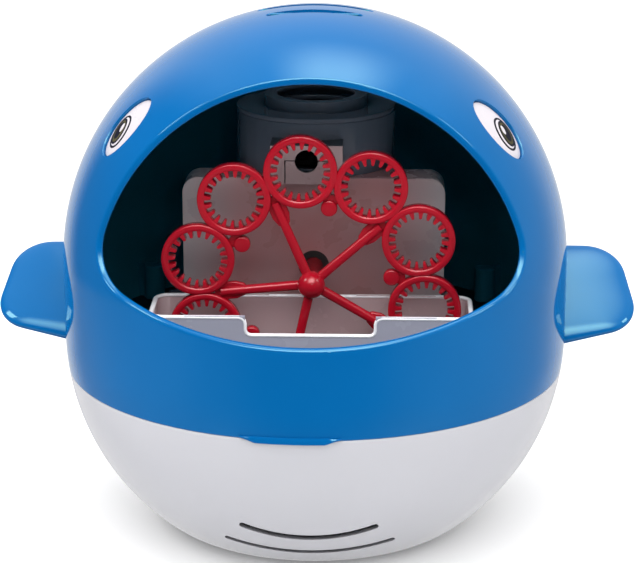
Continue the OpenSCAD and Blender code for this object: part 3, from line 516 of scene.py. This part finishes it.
def shell_rings(count):
    """Rings of points round the upper casing's wall: outside, rounded lip, inside, joint edge."""
    turn = np.linspace(0, 2 * math.pi, count, endpoint=False)
    roll, end, edge = 1.15, 0.5, 0.4
    outside_steps, inside_steps = 84, 40
    rings = []

    def ball(inset, depth, start, stop, radius, steps):
        """Rounds between two directions about the point at inset and depth."""
        centre, body_n = surface(spoke(turn, at_mouth(turn, inset, depth)), inset)
        grad = mouth(centre)[1]
        pick = {"out": body_n, "front": -grad, "in": -body_n}
        a, b = unit(pick[start]), unit(pick[stop])
        for k in range(steps + 1):
            rings.append(centre + radius * mix_dirs(a, b, k / steps))

    seam_c, seam_n = surface(spoke(turn, at_height(turn, edge, SEAM_Z + edge)), edge)
    down = np.tile([0.0, 0.0, -1.0], (count, 1))
    for k in range(5):
        rings.append(seam_c + edge * mix_dirs(down, unit(seam_n), k / 4))
    lip_c, lip_n = surface(spoke(turn, at_mouth(turn, roll, roll)), roll)
    first, last = unit(rings[-1] - CENTRE), unit(lip_c + roll * lip_n - CENTRE)
    for k in range(1, outside_steps):
        rings.append(surface(mix_dirs(first, last, k / outside_steps), 0.0)[0])
    ball(roll, roll, "out", "front", roll, 8)
    ball(WALL - end, end, "front", "in", end, 4)
    start_c, _n = surface(spoke(turn, at_mouth(turn, WALL, 2 * end)), WALL)
    stop_c, _n = surface(spoke(turn, at_height(turn, WALL, SEAM_Z)), WALL)
    a, b = unit(start_c - CENTRE), unit(stop_c - CENTRE)
    for k in range(inside_steps + 1):
        rings.append(surface(mix_dirs(a, b, k / inside_steps), WALL)[0])
    return rings


def dome_prism(outline, normals, flare, depth):
    """Cutter that goes down through the dome, with a small flared edge at the surface."""
    rings = []
    for extra, sink in ((0, depth), (0, 0.35), (flare, -0.03), (flare + 0.3, -3)):
        xy = outline + normals * extra
        z = DOME_Z + np.sqrt(BODY_R ** 2 - (xy ** 2).sum(1)) - sink
        rings.append(np.column_stack([xy, z]))
    return loft(rings)


def slot_outline(half, width, y):
    """Outline and outward normals of a straight slot with round ends."""
    steps = 10
    points, normals = [], []
    for side in (1, -1):
        for k in range(steps + 1):
            a = math.radians(-90 + 180 * k / steps) + (0 if side > 0 else math.pi)
            points.append((side * half + width / 2 * math.cos(a), y + width / 2 * math.sin(a)))
            normals.append((math.cos(a), math.sin(a)))
    return np.array(points), np.array(normals)


# ---------------------------------------------------------------- eyes


def eye_frame(side, az, el, turn):
    """Axes of an oval on the dome: along, across and outward."""
    az, el, turn = map(math.radians, (az, el, turn))
    out = np.array([math.sin(az) * math.cos(el), -math.cos(az) * math.cos(el), math.sin(el)])
    u = np.array([math.cos(az), math.sin(az), 0.0])
    v = np.cross(out, u)
    along = math.cos(turn) * u + math.sin(turn) * v
    across = np.cross(out, along)
    axes = np.array([along, across, out])
    if side < 0:
        axes[:, 0] *= -1
    return axes


def oval_solid(axes, a, b, low, high, edge, count=72):
    """Closed oval on the dome between the sphere radii low and high, with a softened upper edge."""
    spans = 6
    c = circle(count)
    rings = []

    def ring(share, radius, shrink=0.0):
        rings.append(on_dome(axes, c * np.array([a - shrink, b - shrink]) * share, radius))

    for k in range(1, spans + 1):
        ring(k / spans, low)
    ring(1, high - edge)
    ring(1, high - 0.3 * edge, 0.3 * edge)
    for k in range(spans, 0, -1):
        ring(k / spans, high, edge)
    return loft(rings)


# Place and turn of an eye in degrees, its half sizes, the depth of its seat and of its face
EYE = (62.8, 37.2, 110)
EYE_LONG, EYE_SHORT = 11.4, 7.15
EYE_SEAT = 1.55
EYE_SINK = 0.95
# Marks in an eye from the lowest up: name, look, place and turn in degrees, half sizes
EYE_MARKS = (("ring", "eye_black", 65.0, 35.65, 85, 5.9, 4.4),
             ("gap", "eye_white", 65.0, 35.65, 85, 5.15, 3.4),
             ("iris_edge", "eye_black", 65.7, 35.6, 80, 4.6, 3.3),
             ("iris", "eye_iris", 65.7, 35.6, 80, 3.9, 2.6),
             ("pupil", "eye_black", 65.9, 35.7, 78, 3.0, 1.8),
             ("glint", "eye_white", 65.0, 36.6, 80, 1.6, 0.85))


def on_dome(axes, xy, radius):
    """Points of a flat outline on the sphere of a radius about the dome's centre."""
    z = np.sqrt(radius ** 2 - (xy ** 2).sum(1))
    return CENTRE + xy[:, :1] * axes[0] + xy[:, 1:] * axes[1] + z[:, None] * axes[2]


def eye_cutter(side):
    """Cutter for one eye's seat, with a soft outer edge."""
    axes = eye_frame(side, *EYE)
    c = circle(120)
    rings = []
    for grow, radius in ((-3.0, BODY_R - EYE_SEAT), (0.15, BODY_R - EYE_SEAT), (0.15, BODY_R - 0.3),
                         (0.42, BODY_R + 0.02), (0.7, BODY_R + 3)):
        rings.append(on_dome(axes, c * np.array([EYE_LONG + grow, EYE_SHORT + grow]), radius))
    return loft(rings)


def make_eyes():
    fit = 0.05
    top = BODY_R - EYE_SINK
    for side, name in ((-1, "left"), (1, "right")):
        oval = oval_solid(eye_frame(side, *EYE), EYE_LONG - fit, EYE_SHORT - fit,
                          BODY_R - EYE_SEAT + 0.02, top, edge=0.25, count=120)
        place(mesh_object(f"eye_{name}.white", oval), "casing", "eye_white", [f"eye_{name}"], angle=60)
        for k, (mark, mat, az, el, turn, a, b) in enumerate(EYE_MARKS):
            oval = oval_solid(eye_frame(side, az, el, turn), a, b, top - 0.2, top + 0.03 + 0.03 * k, edge=0.02)
            place(mesh_object(f"eye_{name}.{mark}", oval), "casing", mat, angle=60, slot="eye_white")


# ---------------------------------------------------------------- casings


# Screw posts of the upper casing, screw columns of the lower one, and the air slots on top, which end on a
# circle of the radius VENT_CIRCLE
POST_X, POST_Y, POST_LOW, POST_TOP = 58, 46, 60.05, 72.05
COLUMN_X, COLUMN_Y, COLUMN_BORE = 37, 10, 3.3
VENT_CIRCLE, VENT_PITCH, VENT_WIDTH, VENT_Y = 18.4, 10.5, 2.7, 3.5


def box_mesh(a, b):
    """Box between two corners."""
    x, y, z = zip(a, b)
    ring = [(x[0], y[0]), (x[1], y[0]), (x[1], y[1]), (x[0], y[1])]
    return loft([np.array([(*p, h) for p in ring]) for h in z])


def darken_inside(obj):
    """Gives the wall's inner face, away from the lip, its dull dark finish."""
    obj.data.materials.append(MATS["casing_inside"])
    for face in obj.data.polygons:
        c = np.array(face.center) / MM
        r = np.linalg.norm(c - CENTRE) if c[2] > DOME_Z else np.hypot(c[0], c[1])
        limit = BODY_R if c[2] > BOWL_Z else bowl_xy(c[2], 0)
        if r < limit - 1.7 and mouth(c[None, :])[0][0] > 0.9:
            face.material_index = 1


def post(name, x, y):
    """Screw post inside the casing, with a rib that runs out to the wall."""
    edge, half = 0.3, 1.2
    profile = [(3.2, POST_LOW), (3.5, POST_LOW + edge), (3.5, POST_TOP - edge), (3.2, POST_TOP)]
    out = np.array([x, y]) / math.hypot(x, y)
    side = np.array([-out[1], out[0]])
    corners = [(x, y) + out * a + side * b for a, b in ((0.5, -half), (7.3, -half), (7.3, half), (0.5, half))]
    rib = loft([np.array([(*c, z) for c in corners]) for z in (POST_LOW, POST_TOP)])
    obj = mesh_object(name, loft(disc_rings(profile, 40, (x, y))))
    boolean(obj, mesh_object("rib", rib), "UNION")
    place(obj, "casing", "casing_inside", slot="casing_blue")


def make_upper():
    upper = mesh_object("upper_casing.shell", loft(shell_rings(480), closed=True))
    cutters = []
    for i in (-1, 0, 1):
        half = math.sqrt(VENT_CIRCLE ** 2 - (i * VENT_PITCH) ** 2) - VENT_WIDTH / 2
        cutters.append(dome_prism(*slot_outline(half, VENT_WIDTH, VENT_Y + i * VENT_PITCH), 0.35, 8))
    cutters.extend(eye_cutter(s) for s in (-1, 1))
    cutters.append(box_mesh((-4.9, 74, 67.7), (4.9, 86, 72.3)))
    boolean(upper, mesh_object("cutter", *cutters))
    place(upper, "casing", "casing_blue", ["upper_casing"], angle=34)
    darken_inside(upper)
    for k, (sx, sy) in enumerate(((-1, -1), (-1, 1), (1, -1), (1, 1))):
        post(f"upper_casing.post_{k}", sx * POST_X, sy * POST_Y)


def make_seam_lip():
    """Thin lip on the seam under the mouth, faded out at both ends."""
    left, step, count, middle, seam = -20.5, 0.7, 45, -5.1, 54.7
    lip = [(BODY_R - 0.6, 53.0), (BODY_R - 0.1, 53.0), (BODY_R + 0.06, 53.15), (BODY_R + 0.1, 53.6),
           (BODY_R + 0.1, 54.4), (BODY_R - 0.1, 55.0), (BODY_R - 0.6, 55.1)]
    rings = []
    for k in range(count):
        x = left + step * k
        fade = min(1.0, (middle - left - abs(x - middle)) / 5 + 0.05)
        ring = []
        for r, z in lip:
            r, z = r - 0.12 * (1 - fade), seam + (z - seam) * fade
            ring.append((x, -math.sqrt(r * r - x * x), z))
        rings.append(np.array(ring))
    place(mesh_object("upper_casing.seam_lip", loft(rings)), "casing", "casing_blue", angle=25)


def bowl_xy(z, inset):
    """Radius of the belly at height z, moved inward by inset."""
    e = BOWL_Z - (BOWL_R - inset) * (BOWL_Z - EDGE_R) / (BOWL_R - EDGE_R)
    if z >= e:
        return BOWL_X + math.sqrt((BOWL_R - inset) ** 2 - (BOWL_Z - z) ** 2)
    return EDGE_X + math.sqrt(max((EDGE_R - inset) ** 2 - (EDGE_R - z) ** 2, 0))


def belly_cutter(half, end_z, mid_z, width):
    """Curved slot with round ends, cut along Y through the front of the belly."""
    drop = end_z - mid_z
    r = (half ** 2 + drop ** 2) / (2 * drop)
    span = math.asin(half / r)
    centre = mid_z + r

    def at(angle, radius):
        return math.sin(angle) * radius, centre - math.cos(angle) * radius

    def end(side):
        """Half circle round one end of the slot, between its lower and its upper edge."""
        a = side * span
        radial = np.array([math.sin(a), -math.cos(a)])
        along = np.array([math.cos(a), math.sin(a)]) * side
        sweeps = np.linspace(0, math.pi, 9)[1:-1]
        if side < 0:
            sweeps = sweeps[::-1]
        return [tuple(at(a, r) + width / 2 * (radial * math.cos(t) + along * math.sin(t))) for t in sweeps]

    turns = np.linspace(-span, span, 41)
    outline = [at(t, r + width / 2) for t in turns] + end(1)
    outline += [at(t, r - width / 2) for t in turns[::-1]] + end(-1)
    xz = np.array(outline)
    return loft([np.column_stack([xz[:, 0], np.full(len(xz), y), xz[:, 1]]) for y in (-90.0, -36.0)])


def door_cutter():
    """Cutter for the battery door's opening, with a round lobe for its screw."""
    a, b, lobe, lobe_y = 29.6, 27.5, 4.5, 34.0
    outline = [(-a, -b), (a, -b), (a, b), (lobe, b)]
    outline += arc((0, lobe_y), lobe, 0, 180, 16)
    outline += [(-lobe, b), (-a, b)]
    xy = np.array(outline)
    return loft([np.column_stack([xy, np.full(len(xy), z)]) for z in (-3.0, WALL + 0.1)])


def make_lower():
    edge = 0.35
    rim_r = bowl_xy(SEAM_Z - edge, 0)
    foot = EDGE_R - EDGE_R * np.cos(np.radians(np.linspace(3, 80, 26)))
    heights = [z for z in foot if z < 13] + list(np.linspace(13.5, SEAM_Z - edge, 44))
    profile = [(1.0, 0.0), (EDGE_X - 4, 0.0), (EDGE_X, 0.0)]
    profile += [(bowl_xy(z, 0), z) for z in heights]
    profile += [(rim_r - edge + edge * math.cos(t), SEAM_Z - edge + edge * math.sin(t))
                for t in np.radians((25, 50, 75, 90))]
    # The tongue that stands inside the upper casing
    profile += [(79.4, SEAM_Z), (79.4, 57.7), (79.1, 58.0), (77.9, 58.0), (77.6, 57.7), (77.6, 48.0)]
    profile += [(bowl_xy(z, WALL), z) for z in np.linspace(47.5, WALL + 0.01, 26)]
    profile += [(EDGE_X - 4, WALL), (1.0, WALL)]
    lower = mesh_object("lower_casing.shell", lathe(profile, 360))
    cutters = [belly_cutter(20.6, 20, 16.1, 2.2), belly_cutter(26, 12.1, 8.4, 1.7), door_cutter()]
    columns = [(x, y) for x in (-COLUMN_X, COLUMN_X) for y in (-COLUMN_Y, COLUMN_Y)]
    for place_xy in columns:
        cutters.append(loft(disc_rings([(COLUMN_BORE, -3.0), (COLUMN_BORE, 20.0)], 32, place_xy)))
    boolean(lower, mesh_object("cutter", *cutters))
    place(lower, "casing", "belly_white", ["lower_casing"], angle=34)
    column = [(COLUMN_BORE, 1.0), (4.6, 1.4), (4.6, 34.0), (1.7, 34.0), (1.7, 26.0), (COLUMN_BORE, 26.0)]
    v, f = lathe(column, 32)
    for k, (x, y) in enumerate(columns):
        place(mesh_object(f"lower_casing.column_{k}", (v + np.array([x, y, 0]), f)), "casing", "belly_white")


# ---------------------------------------------------------------- fins and tail


def hull_outline(circles, count):
    """Hull of circles (x, y, r): its middle, and count points at even turns about it."""
    pts = np.concatenate([np.array([x, y]) + r * circle(180) for x, y, r in circles])
    middle = np.average([(x, y) for x, y, _r in circles], axis=0)
    order = sorted(map(tuple, pts))
    corners = []
    for seq in (order, order[::-1]):
        chain = []
        for p in seq:
            while len(chain) > 1:
                (ax, ay), (bx, by) = np.subtract(chain[-1], chain[-2]), np.subtract(p, chain[-2])
                if ax * by - ay * bx > 0:
                    break
                chain.pop()
            chain.append(p)
        corners.extend(chain[:-1])
    corners = np.array(corners) - middle
    parts = 20
    hull = np.concatenate([corners + (np.roll(corners, -1, 0) - corners) * k / parts for k in range(parts)])
    hull = hull[np.argsort(np.arctan2(hull[:, 1], hull[:, 0]))]
    angles = np.unwrap(np.arctan2(hull[:, 1], hull[:, 0]))
    turn = np.linspace(0, 2 * math.pi, count, endpoint=False)
    shift = np.mod(turn - angles[0], 2 * math.pi) + angles[0]
    reach = np.hypot(*hull.T)
    radius = np.interp(shift, np.append(angles, angles[0] + 2 * math.pi), np.append(reach, reach[0]))
    for _pass in range(3):
        radius = 0.25 * np.roll(radius, 1) + 0.5 * radius + 0.25 * np.roll(radius, -1)
    return middle, circle(count) * radius[:, None]


def pillow_half(circles, height, up, count=160):
    """Half of a flat rounded body over the hull of circles. height(x) is its half thickness."""
    steps, gap, soft = 18, 0.06, 0.3
    flatness, roundness = 2 / 2.7, 2 / 2.3
    middle, rim = hull_outline(circles, count)
    sign = 1 if up else -1
    rings = []
    for share in (0.3, 0.65, 0.93):
        xy = middle + rim * share
        rings.append(np.column_stack([xy, np.full(count, sign * gap)]))
    reach = np.hypot(*rim.T)[:, None]
    for k in range(4):
        t = math.radians(90 * k / 3)
        xy = middle + rim * (1 - soft * (1 - math.sin(t)) / reach)
        rings.append(np.column_stack([xy, np.full(count, sign * (gap + soft * (1 - math.cos(t))))]))
    for k in range(1, steps):
        t = math.radians(90 * k / steps)
        xy = middle + rim * math.cos(t) ** flatness
        low = gap + soft
        rings.append(np.column_stack([xy, sign * (low + (height(xy[:, 0]) - low) * math.sin(t) ** roundness)]))
    return loft(rings)


def placed(verts, origin, tilt):
    """Turns points about X by tilt degrees, then moves them to origin."""
    c, s = math.cos(math.radians(tilt)), math.sin(math.radians(tilt))
    x, y, z = verts.T
    return np.column_stack([x, c * y - s * z, s * y + c * z]) + np.array(origin)


def body_cutter(grow):
    """The body's own round volume, grown a little, to trim what stands on it."""
    profile = [(r, z) for r, z in arc((0, DOME_Z), BODY_R + grow, 88, 0, 60)]
    profile += [(BODY_R + grow, z) for z in (83, 77, 71, BOWL_Z)]
    profile += [(bowl_xy(z, -grow), z) for z in np.linspace(62, 36, 14)]
    return loft(disc_rings(profile, 300))


# Gap left by trimming to the body, and where the fins and the tail stand, with their tilt in degrees
TRIM = 0.05
FIN_ORIGIN, TAIL_ORIGIN, TILT = (0, 12, 72), (0, 80, 96), 35
FIN_CIRCLES = [(95.15, -4.4, 11.1), (90.7, 8, 13.35), (76, -9.5, 11.45), (76, 9.9, 11.4)]


def make_fins():
    heights = {"upper": lambda x: 4.5 - 0.062 * (x - 76), "lower": lambda x: 2.8 - 0.045 * (x - 76)}
    for side, name in ((-1, "left"), (1, "right")):
        for part, height in heights.items():
            v, f = pillow_half(FIN_CIRCLES, height, part == "upper")
            v = placed(v, FIN_ORIGIN, TILT) * (side, 1, 1)
            fin = mesh_object(f"fin_{name}_{part}.shell", (v, f))
            boolean(fin, mesh_object("cutter", body_cutter(TRIM)))
            place(fin, "casing", "casing_blue", [f"fin_{name}_{part}"], angle=30)


def make_tail():
    for part in ("upper", "lower"):
        lobes = []
        for side in (-1, 1):
            circles = [(0, 2, 7.85), (side * 9, 14, 7.85), (side * 20, 20, 5.8)]
            v, f = pillow_half(circles, lambda x: 3.2 - 0.04 * abs(x), part == "upper", count=140)
            lobes.append(mesh_object(f"tail_{part}.shell", (placed(v, TAIL_ORIGIN, TILT), f)))
        tail = boolean(lobes[0], lobes[1], "UNION")
        boolean(tail, mesh_object("cutter", body_cutter(TRIM)))
        place(tail, "casing", "casing_blue", [f"tail_{part}"], angle=30)


# ---------------------------------------------------------------- wand wheel

WHEEL_Y, WHEEL_Z = -37.0, 90.0
RING_PHASE, RING_CIRCLE, TEETH, SPOKES = 23.4, 36.4, 20, 5


def to_wheel(points, angle, radius=0.0):
    """Points given as (outward, sideways, depth) turned to an angle of the wheel. Depth grows to the back."""
    p = np.asarray(points, float)
    a = math.radians(angle)
    out, side = p[:, 0] + radius, p[:, 1]
    return np.column_stack([out * math.cos(a) - side * math.sin(a), WHEEL_Y + p[:, 2],
                            WHEEL_Z + out * math.sin(a) + side * math.cos(a)])


def ring_section(inner, root):
    """Section of a wand ring as (radius, depth): inner edge, front bevel, rounded rim, back."""
    outer, back = 11.5, 2.0
    front = -back
    soft, small = 0.22, 0.3 * 0.22
    step = front + 0.35
    section = [(inner, step + soft), (inner + small, step + small), (inner + soft, step), (root + 0.08, step)]
    section += [(10.45 - math.cos(b), step - 0.34 * math.sin(b)) for b in np.radians((20, 45, 70, 90))]
    section += [(outer - 0.7 + 0.7 * math.sin(b), front + 0.7 - 0.7 * math.cos(b))
                for b in np.radians((25, 45, 65, 90))]
    section += [(outer, back - 0.5), (outer - 0.15, back - 0.15), (outer - 0.5, back)]
    section += [(inner + soft, back), (inner + small, back - small), (inner, back - soft)]
    return np.array(section)


def ring_piece():
    """One wand ring about its own centre: a rounded outer rim and short teeth that point inward."""
    tip, root = 7.15, 9.3
    spots = (0.0, 0.07, 0.12, 0.16, 0.19, 0.22, 0.25, 0.29, 0.36, 0.43, 0.5)
    spots = [-s for s in spots[:0:-1]] + list(spots[:-1])
    rings = []
    for tooth in range(TEETH):
        for t in spots:
            a = 2 * math.pi * (tooth + 0.5 + t) / TEETH
            share = min(max((0.275 - abs(t)) / 0.105, 0), 1)
            share = share * share * (3 - 2 * share)
            bulge = 0.18 * max(1 - (abs(t) / 0.19) ** 2, 0) - 0.18
            inner = root + (tip - bulge * share - root) * share
            r, depth = ring_section(inner, root).T
            rings.append(np.column_stack([r * math.cos(a), r * math.sin(a), depth]))
    return loft(rings, closed=True)


def bar(stations, depth, back, soft, steps):
    """Bar with rounded long edges through stations of (distance outward, half width)."""
    rings = []
    for x, w in stations:
        ring = []
        for cy, cz, start in ((w, back - depth, -90), (w, back, 0), (-w, back, 90), (-w, back - depth, 180)):
            sy, sz = np.sign(cy), (1 if cz == back else -1)
            centre = (cy - sy * soft, cz - sz * soft)
            ring.extend((x, *p) for p in arc(centre, soft, start, start + 90, steps))
        rings.append(np.array(ring))
    return loft(rings)


def around(piece, phase, radius=0.0, count=SPOKES):
    """Copies of a piece evenly round the wheel."""
    v, f = piece
    return [(to_wheel(v, phase + 360 / count * i, radius), f) for i in range(count)]


def make_wheel():
    spoke_phase, knob_phase, knob_circle = RING_PHASE + 18, RING_PHASE + 54, 25.2
    knob = [(0.3, -1.0)]
    knob += [(1.9 + 0.7 * math.sin(b), -0.3 - 0.7 * math.cos(b)) for b in np.radians((10, 30, 50, 70, 90))]
    knob += [(2.6, 1.4), (2.45, 1.75), (2.1, 1.9), (0.3, 1.9)]
    hub = [(4.3 * math.cos(b), -1 + 4.3 * math.sin(b)) for b in np.radians(np.linspace(-87, 30, 24))]
    hub += [(3.35, 1.8), (3.2, 2.4), (3.2, 19.0), (3.0, 19.9)]
    ring = ring_piece()
    spoke_bar = bar(((2.9, 1.5), (28.6, 1.35)), 3.0, 1.5, 1.2, 6)
    tab = bar(((20.6, 1.3), (21.2, 1.9), (23.8, 2.8), (30.5, 2.8)), 1.95, 1.9, 0.45, 3)
    neck = bar(((24.6, 1.9), (29.5, 2.75)), 1.9, 1.8, 0.5, 3)
    wheel = mesh_object("wand_wheel.body", *around(ring, RING_PHASE, RING_CIRCLE))
    for pieces in (around(ring, RING_PHASE + 36, RING_CIRCLE), around(spoke_bar, spoke_phase),
                   around(tab, spoke_phase), around(neck, knob_phase),
                   around(loft(disc_rings(knob, 40)), knob_phase, knob_circle),
                   around(loft(disc_rings(hub, 64)), 0.0, count=1)):
        boolean(wheel, mesh_object("wheel_part", *pieces), "UNION")
    place(wheel, "wheel", "wheel_red", ["wand_wheel"], angle=40)


# ---------------------------------------------------------------- tray rim and inner mouldings


def make_tray_rim():
    """Rolled bead along the tray's rim, down and across the notch in the front wall."""
    low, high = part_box("solution_tray")
    x1, y0, y1, top = high[0] / MM, low[1] / MM, high[1] / MM, high[2] / MM
    mid, corner, touching = 0.65, 5, 0.15
    notch, drop, bend = 20.3, 5.7, 1.9
    z = top - 0.55
    quarter = np.radians((0, 30, 60, 90))
    front = []
    for s in (-1, 1):
        half = [(s * (x1 - corner), z), (s * (notch + 3.5), z)]
        half += [(s * (notch + bend * (1 - math.sin(t))), z - bend * (1 - math.cos(t))) for t in quarter]
        half += [(s * (notch - bend * (1 - math.cos(t))), z - drop + bend * (1 - math.sin(t))) for t in quarter]
        front.append(half)
    path = [(x, y0 + mid, h) for x, h in front[0] + front[1][::-1]]
    near, far = y0 + corner, y1 - corner
    for sx, cy, start in ((1, near, -90), (1, far, 0), (-1, far, 90), (-1, near, 180)):
        path += [(*p, z) for p in arc((sx * (x1 - corner), cy), corner - mid, start, start + 90, 6)]
    clean = [path[0]]
    for q in path[1:]:
        if np.linalg.norm(np.subtract(q, clean[-1])) > touching:
            clean.append(q)
    if np.linalg.norm(np.subtract(clean[0], clean[-1])) < touching:
        clean.pop()
    pts = np.array(clean)
    t = unit(np.roll(pts, -1, 0) - np.roll(pts, 1, 0))
    c = circle(12)
    rings = []
    for p, d in zip(pts, t):
        flat = np.array([d[1], -d[0], 0.0])
        flat = flat / np.linalg.norm(flat) if np.linalg.norm(flat) > 0.2 else np.array([0.0, -1.0, 0.0])
        rise = np.cross(d, flat)
        rings.append(p + 0.8 * c[:, :1] * flat + 0.62 * c[:, 1:] * rise)
    bead = mesh_object("solution_tray.rim_bead", loft(rings, closed=True))
    # The bead's lighter white is a painted highlight on the tray's one white plastic
    place(bead, "casing", "tray_rim_painted_lit", angle=50, slot="tray_white")


def soften(names):
    """Rounds the sharp edges of CAD nodes with modifiers, so that they catch the light."""
    for name in names:
        obj = NODES[name]
        weld = obj.modifiers.new("weld", "WELD")
        weld.merge_threshold = 0.00001
        bevel = obj.modifiers.new("bevel", "BEVEL")
        bevel.width = 0.25 * MM
        bevel.segments = 2
        bevel.limit_method = "ANGLE"
        bevel.angle_limit = rad(40)
        bevel.use_clamp_overlap = True
        bevel.harden_normals = True


# ---------------------------------------------------------------- the whole toy

make_camera()
setup_stage()
make_upper()
make_seam_lip()
make_eyes()
make_lower()
make_fins()
make_tail()
make_wheel()
make_tray_rim()
soften(("gearbox_front", "gearbox_rear", "solution_tray", "deck", "nozzle_block", "nozzle_insert",
        "blower_housing", "blower_cover", "battery_door", "switch_body", "switch_knob", "battery_box"))
